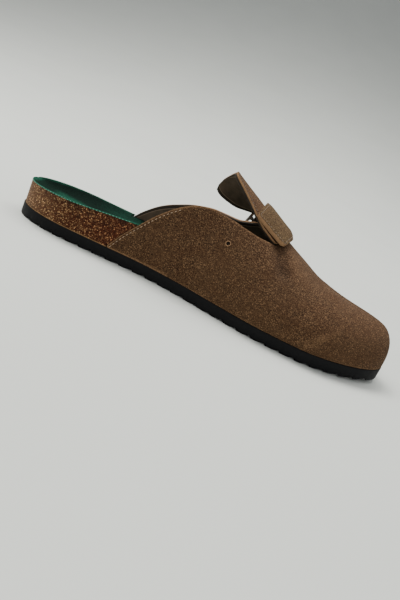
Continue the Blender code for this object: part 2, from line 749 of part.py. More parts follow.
def build_strap(collection, place):
    """Instep strap: sewn on the lobe at its inner end, over the ridge and the buckle's bar to a free tail."""
    runs = strap_runs()
    shares = [2 * k / STRAP_COLUMNS - 1 for k in range(STRAP_COLUMNS + 1)]
    shares = [math.copysign(abs(share) ** STRAP_CROWDING, share) for share in shares]
    corner_pull = {0: 1.0, 1: SECOND_ROW_PULL, len(runs) - 2: -SECOND_ROW_PULL, len(runs) - 1: -1.0}
    rows = []
    for n, run in enumerate(runs):
        row = []
        for share in shares:
            corner = max(0.0, STRAP_WIDTH / 2 * (abs(share) - 1) + STRAP_CORNER) / STRAP_CORNER
            cut_in = STRAP_CORNER * (1 - math.sqrt(1 - corner * corner))
            row.append(strap_point(run + corner_pull.get(n, 0.0) * cut_in, share, place))
        rows.append(row)
    mesh = mesh_from_rows("strap", [rows], outward_from=Vector((STRAP_X, 0, 0)))
    obj = add_object("strap", mesh, material("strap_suede", (0.11, 0.065, 0.04), 0.95), collection)
    band = obj.modifiers.new("band", "SOLIDIFY")
    band.thickness = STRAP_THICKNESS
    band.offset = 1
    band.use_even_offset = True
    return obj


def buckle_axes():
    """Axes of the buckle: x along the strap towards the tail, y out of the shoe, z across the strap."""
    step = 1 * MM
    along = over_face(BUCKLE_ARC + step, 0, 0) - over_face(BUCKLE_ARC - step, 0, 0)
    out = face_normal(*strap_spot(BUCKLE_ARC, 0))
    along = (along - out * along.dot(out)).normalized()
    axes = Matrix((along, out, along.cross(out))).transposed().to_4x4()
    return Matrix.Translation(over_face(BUCKLE_ARC, 0, 0)) @ axes


def flat_outline(name, outlines, half, matrix):
    """A flat plate from closed outlines of (x, y), the first the outer one; half is its half depth."""
    curve = bpy.data.curves.new(name, "CURVE")
    curve.dimensions = "2D"
    curve.fill_mode = "BOTH"
    curve.extrude = half
    for outline in outlines:
        spline = curve.splines.new("POLY")
        spline.points.add(len(outline) - 1)
        for point, (x, y) in zip(spline.points, outline):
            point.co = (x, y, 0, 1)
        spline.use_cyclic_u = True
    obj = bpy.data.objects.new(name, curve)
    bpy.context.scene.collection.objects.link(obj)
    obj.matrix_world = matrix
    return weld_mesh(evaluated_mesh(obj))


def rounded_rectangle(x0, x1, y0, y1, radius, steps=4):
    centres = [(x1 - radius, y1 - radius, 0), (x0 + radius, y1 - radius, 90)]
    centres += [(x0 + radius, y0 + radius, 180), (x1 - radius, y0 + radius, 270)]
    points = []
    for cx, cy, start in centres:
        for k in range(steps + 1):
            angle = math.radians(start + 90 * k / steps)
            points.append((cx + radius * math.cos(angle), cy + radius * math.sin(angle)))
    return points


def build_buckle(collection, place):
    """Flat metal frame with a centre bar, tilted so that its tail end stands off the shoe."""
    depth, length = BUCKLE_DEPTH / 2, BUCKLE_LENGTH / 2
    bar = BUCKLE_CENTRE_BAR / 2
    outlines = [rounded_rectangle(-depth, depth, -length, length, BUCKLE_CORNER)]
    inner_length = length - BUCKLE_RAIL
    for x0, x1 in ((-depth + BUCKLE_END_BAR, -bar), (bar, depth - BUCKLE_END_BAR)):
        outlines.append(rounded_rectangle(x0, x1, -inner_length, inner_length, BUCKLE_INNER_CORNER))
    flat = Matrix.Rotation(math.radians(90), 4, "X")
    tilt = Matrix.Rotation(math.radians(BUCKLE_TILT), 4, "Z")
    lift = Matrix.Translation((0, BUCKLE_HEIGHT, 0))
    mesh = flat_outline("buckle", outlines, BUCKLE_THICKNESS / 2, place @ lift @ tilt @ flat)
    obj = add_object("buckle", mesh, material("gunmetal", (0.10, 0.10, 0.10), 0.35, 1.0), collection, 30)
    bevel = obj.modifiers.new("edges", "BEVEL")
    bevel.width = BUCKLE_EDGE
    bevel.segments = 1
    bevel.limit_method = "ANGLE"
    bevel.angle_limit = math.radians(60)
    return obj


def build_buckle_tab(collection, guides, place):
    """Folded tab that holds the buckle's bar to the outer quarter, slotted for the prong."""
    inverse = place.inverted()

    def over(run, lift):
        local = inverse @ over_face(BUCKLE_ARC + run, 0, lift)
        return (local.x, local.y)

    hole_x = BUCKLE_CENTRE_BAR / 2 + MEET_GAP
    hole_y = BUCKLE_THICKNESS / 2 + MEET_GAP
    step = TAB_LENGTH / TAB_STEPS
    far = [over(TAB_LENGTH - step * k, TAB_CLEARANCE) for k in range(TAB_STEPS - 1)]
    back = [over(step * (k + 1), TAB_CLEARANCE + 2 * TAB_LAYER) for k in range(1, TAB_STEPS)]
    round_bar = []
    for degrees in range(300, -1, -30):
        angle = math.radians(degrees)
        x = (hole_x + TAB_LAYER) * math.cos(angle)
        y = BUCKLE_HEIGHT + (hole_y + TAB_LAYER) * math.sin(angle)
        round_bar.append((x, y))
    outer = far + round_bar + back
    low, high = BUCKLE_HEIGHT - hole_y, BUCKLE_HEIGHT + hole_y
    hole = rounded_rectangle(-hole_x, hole_x, low, high, TAB_HOLE_CORNER, 2)
    mesh = flat_outline("buckle_tab", [outer, hole], TAB_WIDTH / 2, place)
    obj = add_object("buckle_tab", mesh, material("tab_leather", (0.06, 0.038, 0.026), 0.8), collection)
    slot_mesh = bpy.data.meshes.new("prong_slot")
    bm = bmesh.new()
    bmesh.ops.create_cube(bm, size=1)
    bm.to_mesh(slot_mesh)
    bm.free()
    reach = hole_x + TAB_LAYER
    size = Matrix.Diagonal((2 * reach + TAB_SLOT_OVERRUN, TAB_SLOT_DEPTH, PRONG_SLOT, 1))
    slot_mesh.transform(place @ Matrix.Translation((0, BUCKLE_HEIGHT, 0)) @ size)
    cutter = add_object("prong_slot", slot_mesh, material("guide", (0.5, 0.5, 0.5), 0.5), guides)
    cut(obj, cutter)
    return obj


def tube_mesh(name, points, radius, place, resolution=2):
    curve = bpy.data.curves.new(name, "CURVE")
    curve.dimensions = "3D"
    curve.bevel_depth = radius
    curve.bevel_resolution = resolution
    curve.use_fill_caps = True
    spline = curve.splines.new("POLY")
    spline.points.add(len(points) - 1)
    for point, (x, y) in zip(spline.points, points):
        point.co = (x, y, 0, 1)
    obj = bpy.data.objects.new(name, curve)
    bpy.context.scene.collection.objects.link(obj)
    obj.matrix_world = place
    return weld_mesh(evaluated_mesh(obj))


def build_prong(collection, guides, place, strap):
    """Round prong, and the tunnel that it takes through the strap."""
    points = []
    for degrees in range(-60, 121, 30):
        angle = math.radians(degrees)
        points.append((PRONG_HOOK * math.cos(angle), BUCKLE_HEIGHT + PRONG_HOOK_RISE * math.sin(angle)))
    end_x = BUCKLE_DEPTH / 2 - PRONG_TIP_INSET
    tip_y = BUCKLE_HEIGHT + BUCKLE_THICKNESS / 2 + MEET_GAP + PRONG_RADIUS + PRONG_TIP_LIFT
    tip_y -= end_x * math.sin(math.radians(BUCKLE_TILT))
    points += [(-end_x + PRONG_KNEE, tip_y + PRONG_KNEE_LIFT), (-end_x, tip_y)]
    mesh = tube_mesh("buckle_prong", points, PRONG_RADIUS, place)
    obj = add_object("buckle_prong", mesh, material("prong_metal", (0.10, 0.10, 0.10), 0.35, 1.0), collection)
    tunnel = tube_mesh("prong_tunnel", points[5:], PRONG_TUNNEL, place)
    cutter = add_object("prong_tunnel", tunnel, material("guide", (0.5, 0.5, 0.5), 0.5), guides)
    cut(strap, cutter)
    return obj


def clear_scene():
    for obj in list(bpy.data.objects):
        bpy.data.objects.remove(obj)


def centre_on_origin(collections, shoe):
    """Moves everything so that the shoe's box is centred on X and Y."""
    bpy.context.view_layer.update()
    graph = bpy.context.evaluated_depsgraph_get()
    corners = []
    for obj in shoe.objects:
        evaluated = obj.evaluated_get(graph)
        corners += [obj.matrix_world @ Vector(c) for c in evaluated.bound_box]
    shift = Vector((0, 0, 0))
    for axis in (0, 1):
        values = [c[axis] for c in corners]
        shift[axis] = -(min(values) + max(values)) / 2
    for collection in collections:
        for obj in collection.objects:
            obj.data.transform(Matrix.Translation(shift))


def main():
    clear_scene()
    shoe = bpy.data.collections.new("clog_slipper")
    guides = bpy.data.collections.new("cutters")
    for collection in (shoe, guides):
        bpy.context.scene.collection.children.link(collection)
    build_outsole(shoe)
    cutter = build_wall_cutter(guides)
    build_midsole(shoe, cutter)
    build_insole(shoe, cutter)
    build_upper(shoe)
    place = buckle_axes()
    strap = build_strap(shoe, place)
    build_buckle(shoe, place)
    build_buckle_tab(shoe, guides, place)
    build_prong(shoe, guides, place, strap)
    centre_on_origin((shoe, guides), shoe)


main()
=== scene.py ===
"""Looks of a left clog slipper: suede, cork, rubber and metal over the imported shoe, its floor and camera.

Design axes, as in the part: X from the heel to the toe, Y from the inner (-Y) to the outer side, Z up from
the floor. Shapes are worked out in those axes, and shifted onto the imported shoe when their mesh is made.
"""

import math
from collections import namedtuple
from functools import lru_cache

import bmesh
import bpy
from mathutils import Matrix, Vector, noise


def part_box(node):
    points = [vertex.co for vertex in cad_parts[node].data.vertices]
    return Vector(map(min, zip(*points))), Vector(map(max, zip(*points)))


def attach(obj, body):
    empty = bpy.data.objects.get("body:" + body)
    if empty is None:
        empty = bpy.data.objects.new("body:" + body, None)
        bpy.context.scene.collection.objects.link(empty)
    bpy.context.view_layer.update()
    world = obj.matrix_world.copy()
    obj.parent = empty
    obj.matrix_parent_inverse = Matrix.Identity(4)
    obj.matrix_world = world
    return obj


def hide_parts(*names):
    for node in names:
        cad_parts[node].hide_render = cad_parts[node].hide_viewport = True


bl_info = {
    "name": "Clog slipper looks",
    "version": (1, 0, 0),
    "blender": (4, 5, 0),
    "location": "View3D > Sidebar > Clog slipper",
    "description": "Builds the visible surfaces of a suede clog slipper around its packed solids",
    "category": "Object",
}

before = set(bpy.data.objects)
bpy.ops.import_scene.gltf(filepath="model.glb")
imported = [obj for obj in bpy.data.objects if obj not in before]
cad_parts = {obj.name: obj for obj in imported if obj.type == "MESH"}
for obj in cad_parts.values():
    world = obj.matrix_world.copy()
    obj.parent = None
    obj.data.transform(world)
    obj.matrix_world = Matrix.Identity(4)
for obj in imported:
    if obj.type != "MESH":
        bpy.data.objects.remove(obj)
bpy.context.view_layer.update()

MM = 0.001
BODY = "root"

# Sizes shared with the solids
SOLE_LENGTH = 280 * MM
SOLE_THICKNESS = 7.7 * MM
TOE_SPRING = 3.4 * MM
SPRING_START = 200 * MM
MEET_GAP = 0.3 * MM
SOLE_FIRST_X = 0.1 * MM
SOLE_WIDEST_Y = -52.6 * MM

HEEL_HALF_WIDTH = 34.5 * MM
HEEL_CENTRE_X = 45 * MM
HEEL_FULLNESS = 2.1
HEEL_ROUND = 2.4 * MM
TOE_TIP_Y = -8 * MM
TOE_TAPER = 1.55
TOE_ROUNDNESS = 2.0
MEDIAL_TOE_START = 220 * MM
LATERAL_TOE_START = 190 * MM

TREAD_PITCH = 10 * MM
TREAD_DEPTH = 1.3 * MM
TREAD_ZIGZAG = 2.2 * MM
TREAD_START = 9 * MM
TREAD_TEETH = 26
TREAD_COLUMNS = [0, 1, -1, 1, -1, 0]
TREAD_SPLIT = 4
TOOTH_PROFILE = [
    (0.0, 0.0), (0.14, 0.0), (0.28, 0.0), (0.42, 0.0), (0.54, 0.22), (0.66, 0.5), (0.78, 0.78), (0.90, 1.0),
]
PLAIN_END = 14 * MM
PLAIN_SHARE = 0.4
HEEL_ROUND_LENGTH = 4 * MM
HEEL_STATIONS = 14
TOE_STATIONS = 18

UPPER_WALL = 2.8 * MM
SUEDE_LAYER = 1.4 * MM
LAYER_GAP = 0.55 * MM
LINING_SET_BACK = 0.05 * MM
LINING_STEP = 2.4 * MM
LINING_RIBS = 30
LINING_ROWS = 26
LINING_HALF_ROWS = 18
UPPER_INSET = 0.3 * MM
FAN_START = 226 * MM
RIDGE_END = 256 * MM
FAN_RIBS = 48
QUARTER_ROWS = 40
ROW_CROWDING = 1.1
CROWN_HALF_ROWS = 28
STATION_STEP = 1.6 * MM
FRONT_SPLIT = 0.52
FOOT_BLEND = 4 * MM

BED_INSET = 0.5 * MM
SOCK_THICKNESS = 0.55 * MM
SOCK_BAND = 3.2 * MM
# Share of painted light from above on the floor of the sock's heel cup
SOCK_LIT_FLOOR_SHARE = 0.5
SOCK_FRONT_SHARE = 0.28
BED_RIM_SHARE = 0.94
BED_RIM_POWER = 3.4
BED_COLUMNS = 44
BED_HEEL_STATIONS = 18
BED_TOE_STATIONS = 14
WORN_HEEL = 40 * MM
RED_CORK = 85 * MM
WALL_ROOM = 0.5 * MM
LAYER_ROOM = 0.05 * MM
SOCK_TRIM_ENDS = {-1: 88 * MM, 1: 74 * MM}
CUTTER_STEP = 6 * MM
CUTTER_RIBS = 14
CUTTER_ROWS = 8
CUTTER_REACH_OUT = 1.5 * MM
CUTTER_SKIRT = 3 * MM
CUTTER_STEP_BACK = 0.8 * MM

STRAP_X = 172.6 * MM
STRAP_WIDTH = 28 * MM
STRAP_THICKNESS = 2.7 * MM
STRAP_CORNER = 4.5 * MM
STRAP_END = STRAP_CORNER * 3
STRAP_DROOP_START = 8.5 * MM
STRAP_DROOP_REAR = 0.7 * MM
STRAP_DROOP_FRONT = 2.2 * MM
DROOP_FROM = 0.8 * MM
DROOP_SPAN = 2.6 * MM
STRAP_SEWN_END = 20 * MM
STRAP_EDGE_RUB = 0.5
STRAP_RUB = 0.1
STRAP_TINT = (1.0, 1.13, 1.08)
HOLE_DISTANCES = [17 * MM, 24 * MM]
STRAP_COLUMNS = 26
STRAP_STEP = 0.7 * MM
RIDGE_SLOPE = 29.0
CONE_RADIUS = 160 * MM

BUCKLE_ARC = 43 * MM
BUCKLE_LENGTH = 36 * MM
BUCKLE_DEPTH = 27 * MM
BUCKLE_THICKNESS = 1.6 * MM
BUCKLE_END_BAR = 3.0 * MM
BUCKLE_RAIL = 2.2 * MM
BUCKLE_CENTRE_BAR = 2.2 * MM
BUCKLE_CORNER = 3.5 * MM
BUCKLE_HEIGHT = 4.7 * MM
BUCKLE_TILT = 2.0
TAB_WIDTH = 17 * MM
TAB_LAYER = 1.2 * MM
TAB_LENGTH = 6.5 * MM
TAB_CLEARANCE = 0.8 * MM
PRONG_RADIUS = 0.7 * MM
PRONG_HOOK = 2.3 * MM
PRONG_HOOK_POINTS = 7
PRONG_SIDES = 14
PRONG_SLOT = 3.0 * MM
PRONG_TUNNEL = 1.15 * MM

SEAM_ENDS = {-1: 112 * MM, 1: 108 * MM}
LOBE_SEAM_FRONTS = {-1: 170 * MM, 1: 160 * MM}
PINHOLE_X = 150.4 * MM
PINHOLE_Z = 46.0 * MM
HOLE_DEPTH = 0.5 * MM
STITCH_LIFT = 0.08 * MM
LOBE_STITCH_LIFT = 0.06 * MM
STRAP_STITCH_LIFT = 0.02 * MM
SEAM_CLEARANCE = 2 * MM
TRIM_PITCH = 2.3 * MM
TRIM_LENGTH = 1.25 * MM
TRIM_RADIUS = 0.19 * MM
TRIM_OUT = 0.05 * MM
TRIM_DROP = 0.25 * MM
WELD = 0.005 * MM
VAMP_MIDDLE = Vector((190 * MM, 0, 0))


def in_mm(kind, rows, plain=0):
    """A table of rows given in millimetres, all but their last `plain` columns."""
    sizes = len(kind._fields) - plain
    return [kind(*(value * MM for value in row[:sizes]), *row[sizes:]) for row in rows]


Hole = namedtuple("Hole", "radius sunk rim_radius wire raised")
PINHOLE, STRAP_HOLE = in_mm(Hole, [
    (1.4, 0.22, 1.6, 0.26, 0.04),
    (1.1, 0.2, 1.25, 0.2, 0.0),
])

Edge = namedtuple("Edge", "x medial lateral")
SOLE_EDGES = in_mm(Edge, [
    (45, -34.5, 34.5),
    (70, -33.5, 37.0),
    (100, -32.0, 40.0),
    (130, -36.0, 44.5),
    (160, -44.0, 49.5),
    (190, -50.8, 51.6),
    (220, -52.6, 51.6),
])

# The last that the upper is drawn over
Section = namedtuple("Section", "x ridge_y ridge_z bulge fullness")
SECTIONS = in_mm(Section, [
    (50, 1.0, 136.0, 0.0, 2.20),
    (100, 1.0, 107.0, 0.0, 2.20),
    (136, 1.0, 87.2, 0.8, 2.15),
    (160, 0.0, 74.6, 2.0, 2.15),
    (184, -1.0, 60.6, 3.0, 2.20),
    (206, -2.5, 50.8, 3.4, 2.25),
    (225, -4.0, 43.6, 3.2, 2.40),
    (240, -5.0, 40.2, 1.2, 2.55),
    (256, -6.5, 38.6, 0.0, 2.80),
], 1)
BULGE_TOP = 0.9
BULGE_LOWNESS = 0.6

Line = namedtuple("Line", "x z")
MEDIAL_TOP_LINE = in_mm(Line, [
    (77, 9.6), (83, 19.4), (91, 30.2), (103, 44.6), (115, 54.8), (125, 59.4), (134, 60.7),
    (146, 60.0), (160, 58.0), (172, 56.7), (178, 56.9), (181.5, 58.6),
])
LATERAL_TOP_LINE = in_mm(Line, [
    (62, 9.6), (68, 21.5), (76, 30.8), (86, 39.4), (98, 46.0), (112, 51.6), (128, 54.8), (145, 55.0),
])
Reach = namedtuple("Reach", "x y")
KEYHOLE_LINE = in_mm(Reach, [
    (155, 35.5), (163, 30.5), (171, 24.0), (178, 18.0), (184, 13.2), (187, 11.2), (189.5, 11.4),
    (192, 9.6),
])

Tip = namedtuple("Tip", "x medial lateral")
LOBE_TIP = in_mm(Tip, [
    (134.0, -2.5, 27.5),
    (134.8, -4.6, 31.0),
    (136.5, -6.6, 33.4),
    (141.0, -9.4, 34.8),
    (149.0, -14.2, 34.8),
])
Gap = namedtuple("Gap", "x width")
MEDIAL_NOTCH = in_mm(Gap, [
    (160, 16.0), (167, 10.0), (172.5, 6.8), (178, 3.6), (181.5, 0.0),
])
LATERAL_NOTCH = in_mm(Gap, [
    (160, 8.0), (168, 4.6), (176, 2.4), (183, 1.5), (187, 1.4), (190, 3.2), (192, 0.0),
])
LOBE_SWEEP = 12 * MM
LOBE_SWEEP_WIDTH = 30 * MM
SWEEP_END = 174 * MM

Bed = namedtuple("Bed", "x medial middle lateral")
BED_HEIGHTS = in_mm(Bed, [
    (0, 25.0, 25.0, 25.0),
    (9, 25.1, 18.6, 24.9),
    (22, 25.5, 15.2, 24.8),
    (45, 26.6, 14.4, 24.5),
    (75, 29.6, 16.2, 24.0),
    (105, 31.8, 18.4, 23.4),
    (135, 30.6, 17.4, 21.8),
    (170, 22.6, 14.4, 18.6),
    (200, 17.6, 13.2, 16.6),
    (245, 17.4, 14.0, 17.4),
    (280, 19.0, 18.2, 19.0),
])

Run = namedtuple("Run", "arc lift front")
STRAP_RUN = in_mm(Run, [
    (-24.5, 0.5, 0.8),
    (-19, 0.5, 1.2),
    (-10, 0.8, 2.6),
    (0, 1.2, 3.4),
    (14, 1.3, 3.4),
    (26, 0.9, 3.0),
    (43, 2.4, 2.4),
    (61, 2.8, 2.8),
    (67, 2.2, 2.2),
    (72, 1.2, 1.2),
    (76, 0.6, 0.6),
])
Pass = namedtuple("Pass", "x y")
BUCKLE_PASS = in_mm(Pass, [
    (-20, 0.0), (-13.5, 0.2), (-9.4, 0.5), (-8, 1.2), (-6, 3.6), (-4, 6.0), (-2, 7.4), (0, 7.8),
    (2, 7.4), (4, 6.0), (6, 3.9), (8, 1.9), (9.6, 0.8), (13.5, 0.4), (20, 0.0),
])
PASS_HALF = 13.5 * MM
PASS_BLEND = 6.5 * MM

# Creases and soft swellings of the upper, in millimetres: a line between two points, how far it rises (or
# sinks, below 0), how wide it is and how much its nap is rubbed light, or, below 0, how much painted shade
# darkens it
Crease = namedtuple("Crease", "start end rise width rub")
CREASES = [
    # Rows whose last column is below 0 paint shade into troughs beside the strap.
    Crease((180, -25, 57), (190, -37, 45), -1.5, 5.5, -0.5),
    Crease((190, -37, 45), (196, -45, 33), -0.6, 7.0, -0.2),
    Crease((192, -22, 54), (201, -34, 45), 0.5, 6.0, 0.15),
    Crease((172, -30, 55), (182, -40, 45), 0.5, 5.0, 0.1),
    Crease((221, -54, 13), (228, -52, 20), 0.4, 2.2, 0.42),
    Crease((228, -52, 20), (236, -45.5, 26.5), 0.35, 2.0, 0.34),
    Crease((212, -50, 24), (214, -22, 46), -0.5, 8.0, 0.0),
    Crease((214, -22, 46), (213, 20, 47), -0.4, 8.0, 0.0),
    Crease((213, 20, 47), (208, 47, 25), -0.5, 8.0, 0.0),
    Crease((227, -48, 24), (226, -20, 43), 0.35, 6.0, 0.0),
    Crease((226, -20, 43), (224, 26, 42), 0.3, 6.0, 0.0),
    Crease((150, -40, 40), (166, -46, 26), -0.45, 9.0, 0.0),
    Crease((120, -35, 33), (140, -39, 22), 0.35, 9.0, 0.0),
    Crease((192, 11, 56), (203, 18, 50), -0.5, 4.0, -0.2),
    Crease((228, 47, 18), (242, 30, 33), 0.35, 4.0, 0.5),
]
SWELL_SIZE = 34 * MM
SWELL_RISE = 0.35 * MM
EDGE_RUB_WIDTH = 1.5 * MM
REAR_EDGE_RUB = 1.6
LINING_BORDER = 6 * MM
EDGE_RUB = 0.6
REAR_EDGE_END = 122 * MM

# Camera of the photograph, in the shoe's design axes
CAMERA_PLACE = Vector((169.667, -352.165, 93.666)) * MM
CAMERA_RIGHT = Vector((0.89831, 0.17253, 0.40408))
CAMERA_UP = Vector((-0.43495, 0.21912, 0.87339))
CAMERA_BACK = Vector((0.06214, -0.96032, 0.27188))
CAMERA_LENS = 30.0
CAMERA_SENSOR = 36.0


def shoe_shift():
    """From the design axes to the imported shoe's."""
    low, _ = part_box("outsole")
    return Vector((low.x - SOLE_FIRST_X, low.y - SOLE_WIDEST_Y, 0))


SHIFT = shoe_shift()


def smooth(table, x, column):
    """Value of a table's column at x, on a cubic that never overshoots its rows."""
    xs = [row[0] for row in table]
    ys = [getattr(row, column) for row in table]
    x = min(max(x, xs[0]), xs[-1])
    steps = [(ys[i + 1] - ys[i]) / (xs[i + 1] - xs[i]) for i in range(len(xs) - 1)]
    slopes = [steps[0]]
    for before, after in zip(steps, steps[1:]):
        slopes.append(0 if before * after <= 0 else 2 * before * after / (before + after))
    slopes.append(steps[-1])
    i = max(k for k in range(len(steps)) if x >= xs[k])
    width = xs[i + 1] - xs[i]
    t = (x - xs[i]) / width
    rise = ys[i] * (2 * t**3 - 3 * t**2 + 1) + ys[i + 1] * (3 * t**2 - 2 * t**3)
    return rise + width * (slopes[i] * (t**3 - 2 * t**2 + t) + slopes[i + 1] * (t**3 - t**2))


def ease(t):
    """0 to 1 with flat ends."""
    t = min(max(t, 0.0), 1.0)
    return t * t * (3 - 2 * t)


def arc_share(t, fullness):
    """Height of a unit superellipse at share t of its half length."""
    return max(0.0, 1 - min(max(t, 0.0), 1.0) ** fullness) ** (1 / fullness)


def side_shares(count):
    """Shares across, from -1 to 1, that lie closest together at both ends."""
    return [math.sin(math.pi / 2 * (2 * k / count - 1)) for k in range(count + 1)]


def crowd(first, last, count):
    """Values from first to last that lie closest together at the first."""
    return [first + (last - first) * (k / count) ** 2 for k in range(count + 1)]


def sole_edge(side, x):
    """Y of the sole's edge on one side (-1 medial, 1 lateral)."""
    if x < HEEL_CENTRE_X:
        return side * HEEL_HALF_WIDTH * arc_share((HEEL_CENTRE_X - x) / HEEL_CENTRE_X, HEEL_FULLNESS)
    name = "medial" if side < 0 else "lateral"
    start = MEDIAL_TOE_START if side < 0 else LATERAL_TOE_START
    if x <= start:
        return smooth(SOLE_EDGES, x, name)
    widest = smooth(SOLE_EDGES, start, name)
    share = max(0.0, 1 - ((x - start) / (SOLE_LENGTH - start)) ** TOE_TAPER) ** (1 / TOE_ROUNDNESS)
    return TOE_TIP_Y + (widest - TOE_TIP_Y) * share


def spring(x):
    """How far the sole has risen from the floor at x."""
    return TOE_SPRING * max(0.0, (x - SPRING_START) / (SOLE_LENGTH - SPRING_START)) ** 2


def toe_arc(side, count):
    """Points of the sole's edge from the start of the fan to the tip, evenly spaced along it."""
    samples = 400
    dense = []
    for x in reversed(crowd(SOLE_LENGTH, FAN_START, samples)):
        dense.append(Vector((x, sole_edge(side, x))))
    lengths = [0.0]
    for a, b in zip(dense, dense[1:]):
        lengths.append(lengths[-1] + (b - a).length)
    points = []
    for n in range(count + 1):
        wanted = lengths[-1] * n / count
        k = max(i for i in range(samples) if lengths[i] <= wanted)
        t = (wanted - lengths[k]) / (lengths[k + 1] - lengths[k])
        points.append(dense[k].lerp(dense[k + 1], t))
    return points


class Rib:
    """One line of the upper's face, from the sole's edge (v = 0) up and over to the ridge (v = 1)."""

    def __init__(self, side, x, foot=None, ridge_x=None):
        ridge_x = x if ridge_x is None else ridge_x
        foot = Vector((x, sole_edge(side, x))) if foot is None else foot
        self.x = x
        self.ridge = Vector((ridge_x, smooth(SECTIONS, ridge_x, "ridge_y")))
        self.direction = (foot - self.ridge).normalized()
        self.width = (foot - self.ridge).length - UPPER_INSET
        self.base = SOLE_THICKNESS + MEET_GAP + spring(foot.x)
        self.height = smooth(SECTIONS, ridge_x, "ridge_z") - self.base
        self.bulge = smooth(SECTIONS, ridge_x, "bulge")
        self.power = smooth(SECTIONS, ridge_x, "fullness")

    def point(self, v):
        angle = min(max(v, 0.0), 1.0) * math.pi / 2
        up = math.sin(angle) ** (2 / self.power)
        out = max(0.0, math.cos(angle)) ** (2 / self.power) if v < 1 else 0.0
        swell = self.bulge * math.sin(math.pi * min(1.0, up / BULGE_TOP) ** BULGE_LOWNESS)
        plan = self.ridge + self.direction * (self.width * out + swell * out)
        return Vector((plan.x, plan.y, self.base + self.height * up))

    def v_at_height(self, z):
        share = min(max((z - self.base) / self.height, 0.0), 1.0)
        return math.asin(share ** (self.power / 2)) / (math.pi / 2)

    def v_at_reach(self, y):
        share = min(abs(y - self.ridge.y) / self.width, 1.0)
        return math.acos(share ** (self.power / 2)) / (math.pi / 2)

    def length(self):
        points = [self.point(k / 12) for k in range(13)]
        return sum((b - a).length for a, b in zip(points, points[1:]))


@lru_cache(maxsize=None)
def rib_at(side, x):
    return Rib(side, x)


def face_point(x, u):
    """Point of the upper's face at x; u runs from -1 at the medial edge over 0, the ridge, to 1."""
    return rib_at(-1 if u < 0 else 1, round(x, 6)).point(1 - abs(u))


def face_normal(x, u):
    step_x = 0.5 * MM
    step_u = 0.01
    along = face_point(x + step_x, u) - face_point(x - step_x, u)
    across = face_point(x, u + step_u) - face_point(x, u - step_u)
    return along.cross(across).normalized()


@lru_cache(maxsize=None)
def arc_table(x):
    """Rows of arc length from the ridge against u, across the face at x."""
    row = namedtuple("row", "arc u")
    count = 40
    us = [k / count for k in range(-count, count + 1)]
    points = [face_point(x, u) for u in us]
    arcs = [0.0]
    for a, b in zip(points, points[1:]):
        arcs.append(arcs[-1] + (b - a).length)
    return [row(arc - arcs[count], u) for arc, u in zip(arcs, us)]


def strap_spot(run, offset):
    """Where a straight band laid over the vamp's cone lies: x and u at a run from the ridge and an offset."""
    reach = math.hypot(CONE_RADIUS - offset, run)
    x = STRAP_X + (CONE_RADIUS - reach) * math.cos(math.radians(RIDGE_SLOPE))
    arc = reach * math.atan2(run, CONE_RADIUS - offset)
    low = math.floor(x / MM) * MM
    share = (x - low) / MM
    u_low = smooth(arc_table(round(low, 4)), arc, "u")
    u_high = smooth(arc_table(round(low + MM, 4)), arc, "u")
    return x, u_low + (u_high - u_low) * share


def over_face(run, offset, lift):
    """Point at a height above the upper's face, in the strap's own run and offset."""
    x, u = strap_spot(run, offset)
    return face_point(x, u) + face_normal(x, u) * lift


def top_line(side):
    return MEDIAL_TOP_LINE if side < 0 else LATERAL_TOP_LINE


def notch(side):
    return MEDIAL_NOTCH if side < 0 else LATERAL_NOTCH


def corner_x(side):
    """Where a notch ends and the vamp closes."""
    return notch(side)[-1].x


@lru_cache(maxsize=None)
def keyhole_rows():
    """Rows of x against the rib position of the outer quarter's edge, from its last height to the keyhole."""
    row = namedtuple("row", "x v")
    rows = [row(line.x, Rib(1, line.x).v_at_height(line.z)) for line in LATERAL_TOP_LINE[-2:]]
    return rows + [row(reach.x, Rib(1, reach.x).v_at_reach(reach.y)) for reach in KEYHOLE_LINE]


def quarter_v(side, x):
    """Rib position of the quarter's top edge behind the notch's corner."""
    if side > 0 and x > LATERAL_TOP_LINE[-1].x:
        return smooth(keyhole_rows(), x, "v")
    return rib_at(side, x).v_at_height(smooth(top_line(side), x, "z"))


@lru_cache(maxsize=None)
def lobe_rows(side):
    """Rows of x against the rib position of the lobe's side edge."""
    row = namedtuple("row", "x v")
    name = "medial" if side < 0 else "lateral"
    rows = [row(tip.x, Rib(side, tip.x).v_at_reach(getattr(tip, name))) for tip in LOBE_TIP]
    for gap in notch(side):
        rows.append(row(gap.x, quarter_v(side, gap.x) + gap.width / Rib(side, gap.x).length()))
    return rows


def lobe_v(side, x):
    """Rib position of the lobe's side edge behind the notch's corner."""
    return smooth(lobe_rows(side), x, "v")


def split_v(side, x):
    """Rib position of the line that runs on from the notch's corner to the toe."""
    corner = corner_x(side)
    share = ease((x - corner) / (FAN_START - corner))
    return quarter_v(side, corner) * (1 - share) + FRONT_SPLIT * share


def lobe_point(x, u):
    """Point of the lobe, whose rear end runs obliquely back towards the outer side."""
    y = face_point(x, u).y
    fade = ease((SWEEP_END - x) / (SWEEP_END - LOBE_TIP[0].x))
    back = LOBE_SWEEP * (max(0.0, y) / LOBE_SWEEP_WIDTH) ** 2 * fade
    return face_point(x - back, u)


def upper_stations(side, step):
    """Stations of the upper from a quarter's foot to the start of the toe fan, with every row's own x."""
    keys = {row.x for row in LOBE_TIP + MEDIAL_NOTCH + LATERAL_NOTCH + MEDIAL_TOP_LINE}
    keys = {x for x in keys if x > top_line(side)[0].x + step}
    keys = sorted(keys | {top_line(side)[0].x, FAN_START})
    stations = [keys[0]]
    for start, end in zip(keys, keys[1:]):
        count = max(1, round((end - start) / step))
        stations += [start + (end - start) * (k + 1) / count for k in range(count)]
    return [round(x, 6) for x in stations]


def fan_ribs(side, count):
    """Ribs round the toe, from the start of the fan to the tip."""
    ribs = []
    for n, foot in enumerate(toe_arc(side, count)):
        ridge_x = FAN_START + (RIDGE_END - FAN_START) * n / count
        ribs.append(Rib(side, foot.x, foot, ridge_x))
    return ribs[1:]


